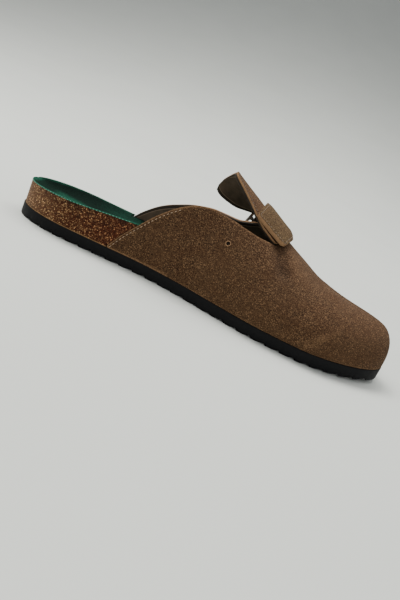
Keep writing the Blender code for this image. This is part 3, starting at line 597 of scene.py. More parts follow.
def wall_rows(side, step, ribs, rows_up, set_back=0.0):
    """Rows of the quarter and side wall, one a station, from the sole up to the notch or split line."""
    corner = corner_x(side)
    shares = [(k / rows_up) ** ROW_CROWDING for k in range(rows_up + 1)]
    rows = []
    for x in upper_stations(side, step):
        rib = rib_at(side, x)
        top = quarter_v(side, x) if x <= corner else split_v(side, x)
        top -= set_back / rib.length() * min(1.0, max(0.0, (corner - x) / MM))
        rows.append([rib.point(top * share) for share in shares])
    for rib in fan_ribs(side, ribs):
        rows.append([rib.point(FRONT_SPLIT * share) for share in shares])
    return rows


def crown_rows(step, ribs, half_rows, set_back=0.0):
    """Rows over the ridge, from one side's notch or split line to the other's."""
    rows = []
    for x in [x for x in upper_stations(-1, step) if x >= LOBE_TIP[0].x]:
        tops = {}
        for side in (-1, 1):
            tops[side] = lobe_v(side, x) if x < corner_x(side) else split_v(side, x)
            tops[side] += set_back / rib_at(side, x).length() * min(1.0, max(0.0, (corner_x(side) - x) / MM))
        start = set_back * ease((LOBE_TIP[-1].x - x) / (LOBE_TIP[-1].x - LOBE_TIP[0].x))
        row = []
        for k in range(-half_rows, half_rows + 1):
            side = -1 if k < 0 else 1
            row.append(lobe_point(x + start, k / half_rows * (1 - tops[side])))
        rows.append(row)
    for medial, lateral in zip(fan_ribs(-1, ribs), fan_ribs(1, ribs)):
        row = []
        for k in range(-half_rows, half_rows + 1):
            rib = medial if k < 0 else lateral
            row.append(rib.point(1 - abs(k) / half_rows * (1 - FRONT_SPLIT)))
        rows.append(row)
    return rows


def segment_distance(point, start, end):
    line = end - start
    t = min(max((point - start).dot(line) / line.length_squared, 0.0), 1.0)
    return (point - start - line * t).length


def relief(point):
    """How far the upper's creases and soft swellings lift a point of its face, and how rubbed its nap is;
    below 0, how much painted shade darkens it in a crease's trough.
    """
    rise = SWELL_RISE * noise.noise(point / SWELL_SIZE)
    rub = 0.0
    for crease in CREASES:
        gap = segment_distance(point, Vector(crease.start) * MM, Vector(crease.end) * MM)
        share = math.exp(-((gap / (crease.width * MM)) ** 2))
        rise += crease.rise * MM * share
        rub += crease.rub * share
    return rise, rub


def grid_bmesh(patches, weld=0.02 * MM):
    """A bmesh from patches, each a list of rows of points with the same count, welded where they meet."""
    bm = bmesh.new()
    for rows in patches:
        grid = [[bm.verts.new(p) for p in row] for row in rows]
        for r0, r1 in zip(grid, grid[1:]):
            for k in range(len(r0) - 1):
                bm.faces.new((r0[k], r1[k], r1[k + 1], r0[k + 1]))
    bmesh.ops.remove_doubles(bm, verts=bm.verts, dist=weld)
    bmesh.ops.recalc_face_normals(bm, faces=bm.faces)
    return bm


def face_out(bm, centre):
    """Turns every face the other way if the surface looks in towards the centre."""
    facing = sum(f.normal.dot(f.calc_center_median() - centre) * f.calc_area() for f in bm.faces)
    if facing < 0:
        bmesh.ops.reverse_faces(bm, faces=bm.faces)
    bm.normal_update()


def slab_patches(bottom, top):
    """The six sides of a solid between two matching grids of points."""
    ends = [[bottom[0], top[0]], [bottom[-1], top[-1]]]
    sides = [[[b[k] for b in bottom], [t[k] for t in top]] for k in (0, -1)]
    return [bottom, top] + ends + sides


def add_piece(name, bm, materials, smooth_angle=40):
    """An object from a bmesh in design axes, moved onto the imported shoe."""
    mesh = bpy.data.meshes.new(name)
    bm.to_mesh(mesh)
    bm.free()
    mesh.transform(Matrix.Translation(SHIFT))
    mesh.shade_smooth()
    mesh.set_sharp_from_angle(angle=math.radians(smooth_angle))
    for mat in materials:
        mesh.materials.append(mat)
    obj = bpy.data.objects.new(name, mesh)
    bpy.context.scene.collection.objects.link(obj)
    return obj


def applied_mesh(obj):
    """The object's mesh with its modifiers applied; the modifiers are taken off."""
    bpy.context.view_layer.update()
    evaluated = obj.evaluated_get(bpy.context.evaluated_depsgraph_get())
    mesh = bpy.data.meshes.new_from_object(evaluated)
    obj.modifiers.clear()
    obj.data = mesh
    return obj


def thicken(obj, thickness, offset, rim_slot=0):
    """Gives an open surface its thickness, inwards at an offset of -1 and outwards at 1."""
    wall = obj.modifiers.new("wall", "SOLIDIFY")
    wall.thickness = thickness
    wall.offset = offset
    wall.use_even_offset = True
    wall.material_offset_rim = rim_slot


def round_edges(obj, width, segments=2, angle=50):
    bevel = obj.modifiers.new("rounding", "BEVEL")
    bevel.width = width
    bevel.segments = segments
    bevel.limit_method = "ANGLE"
    bevel.angle_limit = math.radians(angle)


def cut_by(obj, cutter):
    boolean = obj.modifiers.new("cut", "BOOLEAN")
    boolean.operation = "DIFFERENCE"
    boolean.solver = "EXACT"
    boolean.object = cutter


def finish_piece(obj, slot, *nodes, smooth_angle=40):
    """Applies the modifiers, ties the piece to the shoe and hides the solids that it replaces; its slot is
    not used.
    """
    applied_mesh(obj)
    obj.data.shade_smooth()
    obj.data.set_sharp_from_angle(angle=math.radians(smooth_angle))
    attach(obj, BODY)
    if nodes:
        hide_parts(*nodes)


class Tree:
    """A short way to add nodes to a material."""

    def __init__(self, name):
        self.material = bpy.data.materials.new(name)
        self.material.use_nodes = True
        self.nodes = self.material.node_tree.nodes
        self.links = self.material.node_tree.links
        self.shader = self.nodes["Principled BSDF"]
        self.place = self.nodes.new("ShaderNodeTexCoord").outputs["Object"]

    def link(self, source, target):
        self.links.new(source, target)

    def feed(self, socket, value):
        """Sets a socket from another node's output, a number or a colour."""
        if isinstance(value, bpy.types.NodeSocket):
            self.link(value, socket)
        else:
            socket.default_value = (*value, 1) if isinstance(value, tuple) else value

    def noise(self, size, detail=3.0, roughness=0.55, place=None):
        """Noise whose features are about `size` metres wide."""
        node = self.nodes.new("ShaderNodeTexNoise")
        self.link(place or self.place, node.inputs["Vector"])
        node.inputs["Scale"].default_value = 1 / size
        node.inputs["Detail"].default_value = detail
        node.inputs["Roughness"].default_value = roughness
        return node.outputs["Fac"]

    def cells(self, size, feature="F1", place=None):
        """Cells about `size` metres wide."""
        node = self.nodes.new("ShaderNodeTexVoronoi")
        node.feature = feature
        self.link(place or self.place, node.inputs["Vector"])
        node.inputs["Scale"].default_value = 1 / size
        return node

    def pick(self, cells, channel):
        """One channel of the colour that each cell has at random."""
        node = self.nodes.new("ShaderNodeSeparateColor")
        self.link(cells.outputs["Color"], node.inputs["Color"])
        return node.outputs[channel]

    def ramp(self, value, stops):
        """Colours along a value; stops are (position, colour)."""
        node = self.nodes.new("ShaderNodeValToRGB")
        elements = node.color_ramp.elements
        while len(elements) < len(stops):
            elements.new(0.5)
        for element, (position, colour) in zip(elements, stops):
            element.position = position
            element.color = (*colour, 1)
        self.link(value, node.inputs["Fac"])
        return node.outputs["Color"]

    def map(self, value, low, high, to_low=0.0, to_high=1.0):
        node = self.nodes.new("ShaderNodeMapRange")
        self.link(value, node.inputs["Value"])
        node.inputs["From Min"].default_value = low
        node.inputs["From Max"].default_value = high
        node.inputs["To Min"].default_value = to_low
        node.inputs["To Max"].default_value = to_high
        return node.outputs["Result"]

    def mix(self, share, a, b, blend="MIX"):
        node = self.nodes.new("ShaderNodeMix")
        node.data_type = "RGBA"
        node.blend_type = blend
        self.feed(node.inputs["Factor"], share)
        self.feed(node.inputs["A"], a)
        self.feed(node.inputs["B"], b)
        return node.outputs["Result"]

    def maths(self, operation, a, b):
        node = self.nodes.new("ShaderNodeMath")
        node.operation = operation
        self.feed(node.inputs[0], a)
        self.feed(node.inputs[1], b)
        return node.outputs["Value"]

    def times(self, a, b):
        return self.maths("MULTIPLY", a, b)

    def attribute(self, name):
        node = self.nodes.new("ShaderNodeAttribute")
        node.attribute_name = name
        return node.outputs["Fac"]

    def axis(self, name):
        node = self.nodes.new("ShaderNodeSeparateXYZ")
        self.link(self.place, node.inputs["Vector"])
        return node.outputs[name]

    def stretched(self, scale):
        """The object's coordinates, scaled along each axis."""
        node = self.nodes.new("ShaderNodeMapping")
        node.inputs["Scale"].default_value = scale
        self.link(self.place, node.inputs["Vector"])
        return node.outputs["Vector"]

    def bump(self, height, strength, distance, under=None):
        node = self.nodes.new("ShaderNodeBump")
        node.inputs["Strength"].default_value = strength
        node.inputs["Distance"].default_value = distance
        self.link(height, node.inputs["Height"])
        if under is not None:
            self.link(under, node.inputs["Normal"])
        return node.outputs["Normal"]

    def finish(self, colour, roughness, normal=None, **constants):
        self.feed(self.shader.inputs["Base Color"], colour)
        self.feed(self.shader.inputs["Roughness"], roughness)
        if normal is not None:
            self.link(normal, self.shader.inputs["Normal"])
        for name, value in constants.items():
            self.shader.inputs[name.replace("_", " ")].default_value = value
        return self.material


def shade(colour, factor):
    return tuple(c * factor for c in colour[:3])


def tinted(colour, tint):
    return tuple(c * t for c, t in zip(colour, tint))


def suede(name, look, tint=(1.0, 1.0, 1.0)):
    """Fine napped suede: speckled fibre tips over a mottled ground, lighter where it is rubbed or cut, and
    darker with painted shade in crease troughs.
    """
    tree = Tree(name)
    base, light, dark = (tinted(c, tint) for c in (look.base, look.light, look.dark))
    nap = look.nap_size
    fine = tree.noise(nap * 0.6, 2.0, 0.6)
    grain = tree.noise(nap, 1.5, 0.55)
    mottle = tree.noise(9 * MM, 4.0, 0.6)
    broad = tree.noise(38 * MM, 2.0, 0.5)
    ground = tree.ramp(grain, [(0.43, dark), (0.50, base), (0.59, light)])
    fibres = tree.cells(nap * 1.9)
    dots = tree.map(fibres.outputs["Distance"], 0.50, 0.16)
    tips = tree.times(dots, tree.map(tree.pick(fibres, "Red"), 0.25, 0.75))
    colour = tree.mix(tree.times(tips, 0.7), ground, shade(light, 3.0))
    red = tinted(base, (0.95, 0.78, 0.68))
    colour = tree.mix(tree.map(mottle, 0.4, 0.66, 0.0, 0.35), colour, red)
    colour = tree.mix(tree.map(broad, 0.45, 0.65, 0.0, 0.16), colour, light)
    rub = tree.attribute("rub")
    worn = tree.times(tree.map(rub, 0.0, 1.0), tree.map(grain, 0.42, 0.56, 0.25, 1.0))
    colour = tree.mix(tree.times(worn, 0.85), colour, shade(light, 2.3))
    # Painted shade: values below 0 darken the nap in the creases' troughs beside the strap.
    colour = tree.mix(tree.map(rub, 0.0, -0.6, 0.0, 0.5), colour, dark)
    bump = tree.bump(fine, 0.6, 0.2 * MM)
    bump = tree.bump(grain, 0.7, 0.35 * MM, bump)
    bump = tree.bump(mottle, 0.3, 0.6 * MM, bump)
    return tree.finish(
        colour, look.roughness, bump, Sheen_Weight=0.12, Sheen_Roughness=0.5,
        Sheen_Tint=(*shade(light, 2.5), 1), Specular_IOR_Level=0.12,
    )


def cut_leather(name, look):
    """Cut edge of the suede: paler, fibrous across the thickness."""
    tree = Tree(name)
    light = tuple(look.light)
    fibres = tree.noise(0.35 * MM, 3.0, 0.6)
    patches = tree.noise(6 * MM, 2.0, 0.5)
    colour = tree.ramp(fibres, [(0.3, shade(light, 1.5)), (0.5, shade(light, 2.6)), (0.7, shade(light, 3.6))])
    colour = tree.mix(tree.map(patches, 0.45, 0.7, 0.0, 0.4), colour, shade(light, 1.2))
    return tree.finish(colour, 0.9, tree.bump(fibres, 0.6, 0.2 * MM), Specular_IOR_Level=0.2)


def lining_leather(name, look, factor=1.0):
    """Smooth dark lining with a faint grain."""
    tree = Tree(name)
    base = shade(tuple(look.lining), factor)
    grain = tree.cells(0.9 * MM, "DISTANCE_TO_EDGE").outputs["Distance"]
    clouds = tree.noise(9 * MM, 4.0, 0.6)
    fibres = tree.noise(0.6 * MM, 3.0, 0.6)
    colour = tree.mix(tree.map(clouds, 0.35, 0.7), shade(base, 0.7), shade(base, 1.35))
    colour = tree.mix(tree.map(fibres, 0.5, 0.75, 0.0, 0.4), colour, shade(base, 1.8))
    border = tree.attribute("border")
    colour = tree.mix(tree.map(border, 0.54, 0.58, 0.0, 0.8), colour, shade(base, 0.25))
    line = tree.times(tree.map(border, 0.42, 0.45), tree.map(border, 0.56, 0.53))
    colour = tree.mix(tree.times(line, 0.8), colour, shade(base, 2.6))
    bump = tree.bump(fibres, 0.35, 0.2 * MM, tree.bump(grain, 0.3, 0.15 * MM))
    return tree.finish(colour, 0.78, bump, Specular_IOR_Level=0.3)


def cork_material(sole):
    """Pressed cork: granules of several browns, tan flecks and dark pores, greyer at the back of the heel."""
    tree = Tree("cork")
    granule = sole.granule
    warped = tree.nodes.new("ShaderNodeVectorMath")
    warped.operation = "MULTIPLY_ADD"
    wobble = tree.nodes.new("ShaderNodeTexNoise")
    wobble.inputs["Scale"].default_value = 1 / (granule * 1.6)
    tree.link(tree.place, wobble.inputs["Vector"])
    tree.link(wobble.outputs["Color"], warped.inputs[0])
    warped.inputs[1].default_value = (granule * 0.7,) * 3
    tree.link(tree.place, warped.inputs[2])
    place = warped.outputs["Vector"]
    coarse = tree.cells(granule, place=place)
    fine = tree.cells(granule * 0.5, place=place)
    flecks = tree.cells(granule * 1.25, place=place)
    base, dark, fleck = tuple(sole.base), tuple(sole.dark), tuple(sole.fleck)
    red = tinted(base, (1.15, 0.82, 0.62))
    ground = tree.ramp(tree.pick(coarse, "Red"), [
        (0.0, dark), (0.30, shade(base, 0.6)), (0.55, red), (0.80, base),
        (0.93, shade(fleck, 0.6)), (1.0, fleck),
    ])
    small = tree.ramp(tree.pick(fine, "Green"), [
        (0.0, shade(dark, 0.8)), (0.4, shade(base, 0.75)), (0.8, shade(base, 1.25)), (1.0, fleck),
    ])
    colour = tree.mix(0.38, ground, small)
    chips = tree.map(tree.pick(flecks, "Blue"), 0.84, 0.87)
    inside = tree.map(flecks.outputs["Distance"], 0.46, 0.30)
    colour = tree.mix(tree.times(tree.times(chips, inside), 0.9), colour, shade(fleck, 1.5))
    pores = tree.map(tree.noise(granule * 0.8, 3.0, 0.7), 0.66, 0.74)
    colour = tree.mix(tree.times(pores, 0.85), colour, shade(dark, 0.45))
    worn = tree.map(tree.axis("X"), SHIFT.x + WORN_HEEL, SHIFT.x, 0.0, 0.85)
    front = tree.map(tree.axis("X"), SHIFT.x + WORN_HEEL, SHIFT.x + RED_CORK)
    colour = tree.mix(front, colour, tree.mix(1.0, colour, (0.84, 0.62, 0.56), "MULTIPLY"))
    bright = tree.mix(1.0, colour, (2.1, 2.1, 2.1), "MULTIPLY")
    colour = tree.mix(worn, colour, tree.mix(0.45, bright, tuple(sole.heel_grey)))
    seam_z = SOLE_THICKNESS + MEET_GAP
    seam = tree.map(tree.axis("Z"), seam_z + 0.9 * MM, seam_z + 0.2 * MM, 0.0, 0.7)
    colour = tree.mix(seam, colour, shade(fleck, 0.6))
    rim = tree.map(tree.axis("Z"), 19 * MM, 26 * MM, 0.0, 0.6)
    stains = tree.map(tree.noise(7 * MM), 0.4, 0.6)
    colour = tree.mix(tree.times(rim, stains), colour, shade(dark, 0.8))
    granules = tree.mix(0.5, coarse.outputs["Distance"], fine.outputs["Distance"])
    bump = tree.bump(granules, 0.5, 0.35 * MM)
    bump = tree.bump(tree.noise(0.5 * MM), 0.35, 0.2 * MM, bump)
    return tree.finish(colour, 0.72, bump, Specular_IOR_Level=0.12)


def sock_material(sole):
    """Short napped suede of the sock, lighter in a band along its rim, with painted light on the floor of the
    heel cup.
    """
    tree = Tree("green_suede")
    base, rim_and_lit_floor_colour = tuple(sole.sock), tuple(sole.sock_rim_and_lit_floor)
    fine = tree.noise(0.3 * MM, 2.0, 0.6)
    grain = tree.noise(0.8 * MM, 3.0, 0.6)
    clouds = tree.noise(14 * MM, 3.0, 0.5)
    rim = tree.maths("ADD", tree.attribute("rim"), tree.map(clouds, 0.2, 0.8, -0.12, 0.12))
    # The "rim" attribute holds the pale rim band and painted light on the floor of the heel cup.
    ground = tree.mix(tree.map(rim, 0.15, 0.8), base, rim_and_lit_floor_colour)
    hollows = tree.mix(0.5, ground, (0, 0, 0))
    tips = tree.mix(1.0, ground, ground, "ADD")
    colour = tree.mix(tree.map(grain, 0.36, 0.64), hollows, tips)
    colour = tree.mix(tree.times(tree.map(fine, 0.6, 0.75), 0.35), colour, shade(rim_and_lit_floor_colour, 1.6))
    bump = tree.bump(fine, 0.4, 0.2 * MM, tree.bump(grain, 0.4, 0.3 * MM))
    return tree.finish(
        colour, 0.95, bump, Sheen_Weight=0.12, Sheen_Roughness=0.5,
        Sheen_Tint=(*shade(rim_and_lit_floor_colour, 6.0), 1), Specular_IOR_Level=0.08,
    )


def rubber_material(sole):
    """Matte black moulded rubber with a fine pebble and faint dust."""
    tree = Tree("black_rubber")
    base = tuple(sole.rubber)
    pebble = tree.cells(0.55 * MM).outputs["Distance"]
    scuff = tree.noise(5 * MM, 5.0, 0.65)
    streak = tree.noise(2.2 * MM, 3.0, 0.6, tree.stretched((0.35, 0.35, 3.0)))
    colour = tree.mix(tree.map(scuff, 0.5, 0.8, 0.0, 0.5), base, shade(base, 2.2))
    colour = tree.mix(tree.map(streak, 0.6, 0.8, 0.0, 0.3), colour, shade(base, 2.6))
    roughness = tree.map(scuff, 0.3, 0.7, 0.6, 0.75)
    bump = tree.bump(pebble, 0.25, 0.12 * MM, tree.bump(scuff, 0.2, 0.25 * MM))
    return tree.finish(colour, roughness, bump, Specular_IOR_Level=0.14)


def metal_material(name, trim):
    """Dark plated metal, brighter where it is handled."""
    tree = Tree(name)
    base = tuple(trim.metal)
    tarnish = tree.noise(2.6 * MM, 5.0, 0.65)
    fine = tree.noise(0.35 * MM, 3.0, 0.6)
    colour = tree.mix(tree.map(tarnish, 0.38, 0.66), shade(base, 0.7), shade(base, 1.2))
    roughness = tree.map(tarnish, 0.3, 0.7, 0.34, 0.24)
    bump = tree.bump(fine, 0.12, 0.05 * MM, tree.bump(tarnish, 0.1, 0.12 * MM))
    return tree.finish(colour, roughness, bump, Metallic=1.0)


def thread_material(name, colour):
    """Waxed thread with the twist of its strands."""
    tree = Tree(name)
    twist = tree.noise(0.3 * MM, 2.0, 0.5)
    shades = tree.mix(tree.map(twist, 0.35, 0.65), shade(colour, 0.7), shade(colour, 1.25))
    return tree.finish(shades, 0.7, tree.bump(twist, 0.5, 0.12 * MM), Sheen_Weight=0.15)


def hole_shadow_material():
    # Painted shadow: a near-black sheet that stands for the shade inside a hole.
    tree = Tree("hole_shadow")
    grain = tree.noise(0.4 * MM)
    colour = tree.mix(grain, (0.004, 0.003, 0.002), (0.014, 0.010, 0.007))
    return tree.finish(colour, 0.95, tree.bump(grain, 0.3, 0.1 * MM), Specular_IOR_Level=0.1)


def group_tree(name, **sizes):
    """An empty Geometry Nodes group: a geometry, sizes and a material in, a geometry out."""
    group = bpy.data.node_groups.new(name, "GeometryNodeTree")
    face = group.interface
    face.new_socket("Geometry", in_out="INPUT", socket_type="NodeSocketGeometry")
    for label, value in sizes.items():
        face.new_socket(label, in_out="INPUT", socket_type="NodeSocketFloat").default_value = value
    face.new_socket("Material", in_out="INPUT", socket_type="NodeSocketMaterial")
    face.new_socket("Geometry", in_out="OUTPUT", socket_type="NodeSocketGeometry")
    return group, group.nodes.new("NodeGroupInput")


def point_facing(group):
    """The "facing" vector that each point holds."""
    facing = group.nodes.new("GeometryNodeInputNamedAttribute")
    facing.data_type = "FLOAT_VECTOR"
    facing.inputs["Name"].default_value = "facing"
    return facing.outputs["Attribute"]


def copy_onto(group, start, points, shape, direction):
    """Ends a group: copies of a shape on points, each turned to a direction, made real and painted."""
    new, link = group.nodes.new, group.links.new
    turn = new("FunctionNodeAlignRotationToVector")
    turn.axis = "Z"
    copies = new("GeometryNodeInstanceOnPoints")
    realize = new("GeometryNodeRealizeInstances")
    paint = new("GeometryNodeSetMaterial")
    link(direction, turn.inputs["Vector"])
    link(points, copies.inputs["Points"])
    link(shape, copies.inputs["Instance"])
    link(turn.outputs["Rotation"], copies.inputs["Rotation"])
    link(copies.outputs["Instances"], realize.inputs["Geometry"])
    link(realize.outputs["Geometry"], paint.inputs["Geometry"])
    link(start.outputs["Material"], paint.inputs["Material"])
    link(paint.outputs["Geometry"], new("NodeGroupOutput").inputs["Geometry"])
    return group


def stitch_tree():
    """Stitches along a path: short rounded threads, turned along it, one for each pitch."""
    group, start = group_tree("stitches_along_path", Pitch=3 * MM, Length=2.2 * MM, Radius=0.3 * MM)
    new, link = group.nodes.new, group.links.new
    curve = new("GeometryNodeMeshToCurve")
    spaced = new("GeometryNodeResampleCurve")
    spaced.mode = "LENGTH"
    tangent = new("GeometryNodeInputTangent")
    thread = new("GeometryNodeMeshUVSphere")
    thread.inputs["Segments"].default_value = 8
    thread.inputs["Rings"].default_value = 6
    thread.inputs["Radius"].default_value = 1.0
    half = new("ShaderNodeMath")
    half.operation = "MULTIPLY"
    half.inputs[1].default_value = 0.5
    size = new("ShaderNodeCombineXYZ")
    shape = new("GeometryNodeTransform")
    rounded = new("GeometryNodeSetShadeSmooth")
    link(start.outputs["Geometry"], curve.inputs["Mesh"])
    link(curve.outputs["Curve"], spaced.inputs["Curve"])
    link(start.outputs["Pitch"], spaced.inputs["Length"])
    link(start.outputs["Length"], half.inputs[0])
    link(start.outputs["Radius"], size.inputs["X"])
    link(start.outputs["Radius"], size.inputs["Y"])
    link(half.outputs["Value"], size.inputs["Z"])
    link(thread.outputs["Mesh"], shape.inputs["Geometry"])
    link(size.outputs["Vector"], shape.inputs["Scale"])
    link(shape.outputs["Geometry"], rounded.inputs["Geometry"])
    thread_shape = rounded.outputs["Geometry"]
    return copy_onto(group, start, spaced.outputs["Curve"], thread_shape, tangent.outputs["Tangent"])


def ring_tree():
    """Rings on points, each facing along its point's "facing" vector."""
    group, start = group_tree("rings_on_points", Radius=1 * MM, Wire=0.2 * MM)
    new, link = group.nodes.new, group.links.new
    circle = new("GeometryNodeCurvePrimitiveCircle")
    circle.inputs["Resolution"].default_value = 20
    section = new("GeometryNodeCurvePrimitiveCircle")
    section.inputs["Resolution"].default_value = 8
    sweep = new("GeometryNodeCurveToMesh")
    rounded = new("GeometryNodeSetShadeSmooth")
    link(start.outputs["Radius"], circle.inputs["Radius"])
    link(start.outputs["Wire"], section.inputs["Radius"])
    link(circle.outputs["Curve"], sweep.inputs["Curve"])
    link(section.outputs["Curve"], sweep.inputs["Profile Curve"])
    link(sweep.outputs["Mesh"], rounded.inputs["Geometry"])
    ring = rounded.outputs["Geometry"]
    return copy_onto(group, start, start.outputs["Geometry"], ring, point_facing(group))


def disc_tree():
    """Flat round plugs on points, each facing along its point's "facing" vector."""
    group, start = group_tree("discs_on_points", Radius=1 * MM, Depth=0.2 * MM)
    plug = group.nodes.new("GeometryNodeMeshCylinder")
    plug.inputs["Vertices"].default_value = 20
    group.links.new(start.outputs["Radius"], plug.inputs["Radius"])
    group.links.new(start.outputs["Depth"], plug.inputs["Depth"])
    return copy_onto(group, start, start.outputs["Geometry"], plug.outputs["Mesh"], point_facing(group))


def grow_on(name, paths, group, values, facings=None):
    """Runs a Geometry Nodes group on paths or points in design axes, and keeps its mesh as a plain piece."""
    mesh = bpy.data.meshes.new(name)
    points, edges = [], []
    for path in paths:
        first = len(points)
        points += [tuple(p + SHIFT) for p in path]
        if facings is None:
            edges += [(first + k, first + k + 1) for k in range(len(path) - 1)]
    mesh.from_pydata(points, edges, [])
    if facings is not None:
        attribute = mesh.attributes.new("facing", "FLOAT_VECTOR", "POINT")
        for item, facing in zip(attribute.data, facings):
            item.vector = facing
    obj = bpy.data.objects.new(name, mesh)
    modifier = obj.modifiers.new(name, "NODES")
    modifier.node_group = group
    for item in group.interface.items_tree:
        if item.item_type == "SOCKET" and item.in_out == "INPUT" and item.name in values:
            modifier[item.identifier] = values[item.name]
    bpy.context.scene.collection.objects.link(obj)
    applied_mesh(obj)
    bm = bmesh.new()
    bm.from_mesh(obj.data)
    bmesh.ops.recalc_face_normals(bm, faces=bm.faces)
    bm.to_mesh(obj.data)
    bm.free()
    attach(obj, BODY)


def shoe_settings():
    return bpy.context.scene.clog_slipper


def colour_setting(name, description, default):
    return bpy.props.FloatVectorProperty(
        name=name, description=description, subtype="COLOR", size=3, min=0, max=1, default=default)


def size_setting(name, description, default, low, high):
    """A length; its default and limits are given in millimetres."""
    return bpy.props.FloatProperty(
        name=name, description=description, subtype="DISTANCE", unit="LENGTH", precision=5,
        default=default * MM, min=low * MM, max=high * MM)


def power_setting(name, description, default):
    return bpy.props.FloatProperty(
        name=name, description=description, subtype="POWER", unit="POWER", default=default, min=0, max=1000)


class SuedeSettings(bpy.types.PropertyGroup):
    base: colour_setting("Suede", "Main colour of the nap", (0.0490, 0.0236, 0.0114))
    light: colour_setting("Fibre tips", "Colour of the fibre tips and of cut edges", (0.103, 0.0580, 0.0290))
    dark: colour_setting("Nap shadow", "Colour between the fibres", (0.0130, 0.0062, 0.0029))
    lining: colour_setting("Lining", "Colour of the leather inside", (0.085, 0.058, 0.037))
    nap_size: size_setting("Nap size", "Width of the finest speckle", 0.45, 0.1, 5)
    roughness: bpy.props.FloatProperty(
        name="Roughness", description="Roughness of the nap", subtype="FACTOR", default=0.95, min=0, max=1)


class SoleSettings(bpy.types.PropertyGroup):
    base: colour_setting("Cork", "Main colour of the cork granules", (0.050, 0.0128, 0.0028))
    dark: colour_setting("Cork shadow", "Colour of the darkest granules", (0.0080, 0.0026, 0.0010))
    fleck: colour_setting("Cork flecks", "Colour of the pale granules", (0.42, 0.245, 0.112))
    heel_grey: colour_setting("Worn cork", "Colour of the cork at the heel's back", (0.205, 0.135, 0.080))
    granule: size_setting("Granule", "Width of a cork granule", 0.72, 0.3, 10)
    sock: colour_setting("Sock", "Colour of the suede that covers the footbed", (0.0017, 0.0050, 0.0034))
    # The sock's rim colour is also the painted light on the floor of the heel cup.
    sock_rim_and_lit_floor: colour_setting("Sock rim", "Colour of the sock along its rim", (0.0085, 0.060, 0.035))
    rubber: colour_setting("Rubber", "Colour of the outsole", (0.0040, 0.0040, 0.0043))


class TrimSettings(bpy.types.PropertyGroup):
    thread: colour_setting("Thread", "Colour of the quarters' and strap's thread", (0.36, 0.24, 0.145))
    metal: colour_setting("Metal", "Colour of the buckle", (0.155, 0.15, 0.142))
    pitch: size_setting("Stitch pitch", "Distance from one stitch to the next", 2.7, 0.5, 20)
    stitch: size_setting("Stitch length", "Length of one stitch", 1.7, 0.3, 20)
    radius: size_setting("Thread radius", "Half the thread's thickness", 0.25, 0.05, 2)
    margin: size_setting("Stitch margin", "Distance from a seam to the cut edge", 1.7, 0.5, 10)


class StageSettings(bpy.types.PropertyGroup):
    floor: colour_setting("Floor", "Colour of the floor and backdrop", (0.56, 0.575, 0.535))
    key: power_setting("Key light", "Power of the large soft light overhead", 72.0)
    fill: power_setting("Fill light", "Power of the light beside the camera", 33.0)
    wall: power_setting("Wall light", "Power of the light over the floor behind the shoe", 70.0)
    heel: power_setting("Heel light", "Power of the low light behind the heel", 3.2)
    sky: bpy.props.FloatProperty(
        name="Room light", description="Strength of the even light of the room", default=0.46, min=0, max=10)


class ClogSettings(bpy.types.PropertyGroup):
    suede: bpy.props.PointerProperty(type=SuedeSettings)
    sole: bpy.props.PointerProperty(type=SoleSettings)
    trim: bpy.props.PointerProperty(type=TrimSettings)
    stage: bpy.props.PointerProperty(type=StageSettings)


def outsole_rows():
    """Floor side and top of the outsole, with its cross teeth."""
    stations = [(x, 0.0) for x in crowd(SOLE_FIRST_X, TREAD_START - 1 * MM, HEEL_STATIONS)]
    for n in range(TREAD_TEETH):
        for share, depth in TOOTH_PROFILE:
            stations.append((TREAD_START + (n + share) * TREAD_PITCH, depth * TREAD_DEPTH))
    tail = crowd(SOLE_LENGTH - SOLE_FIRST_X, TREAD_START + TREAD_TEETH * TREAD_PITCH, TOE_STATIONS)
    stations += [(x, 0.0) for x in reversed(tail)]
    columns = (len(TREAD_COLUMNS) - 1) * TREAD_SPLIT
    bottom, top = [], []
    for x, depth in stations:
        free = ease(min(x, SOLE_LENGTH - x) / PLAIN_END - PLAIN_SHARE)
        low_row, high_row = [], []
        for k in range(columns + 1):
            place = min(k / TREAD_SPLIT, len(TREAD_COLUMNS) - 1.001)
            n = int(place)
            turn = TREAD_COLUMNS[n] + (TREAD_COLUMNS[n + 1] - TREAD_COLUMNS[n]) * (place - n)
            turn = TREAD_COLUMNS[-1] if k == columns else turn
            along = x + turn * TREAD_ZIGZAG * free
            share = k / columns
            y = sole_edge(-1, along) * (1 - share) + sole_edge(1, along) * share
            heel_round = HEEL_ROUND * (1 - ease(along / HEEL_ROUND_LENGTH))
            low_row.append(Vector((along, y, depth + spring(along) + heel_round)))
            high_row.append(Vector((along, y, SOLE_THICKNESS + spring(along))))
        bottom.append(low_row)
        top.append(high_row)
    return bottom, top


def bed_height(x, share):
    """Height of the foot's surface; share runs from -1 at the medial rim to 1 at the lateral rim."""
    middle = smooth(BED_HEIGHTS, x, "middle")
    rim = smooth(BED_HEIGHTS, x, "medial" if share < 0 else "lateral")
    return middle + (rim - middle) * min(1.0, abs(share) / BED_RIM_SHARE) ** BED_RIM_POWER


def bed_stations():
    """Stations of the footbed: crowded round the heel and the toe, and even between them."""
    heel_end, step, toe_start = 22, 3, 247
    heel = crowd(BED_INSET + SOLE_FIRST_X, heel_end * MM, BED_HEEL_STATIONS)
    middle = [x * MM for x in range(heel_end + step, toe_start, step)]
    toe = reversed(crowd(SOLE_LENGTH - BED_INSET - SOLE_FIRST_X, toe_start * MM, BED_TOE_STATIONS))
    return heel + middle + list(toe)


def bed_plan(x, share):
    """Plan point of the footbed's layers."""
    source = (x - BED_INSET) * SOLE_LENGTH / (SOLE_LENGTH - 2 * BED_INSET)
    edge = sole_edge(-1 if share < 0 else 1, source)
    centre = (sole_edge(-1, source) + sole_edge(1, source)) / 2
    half = abs(edge - centre)
    return Vector((x, centre + share * max(half - BED_INSET, half * 0.5), 0))


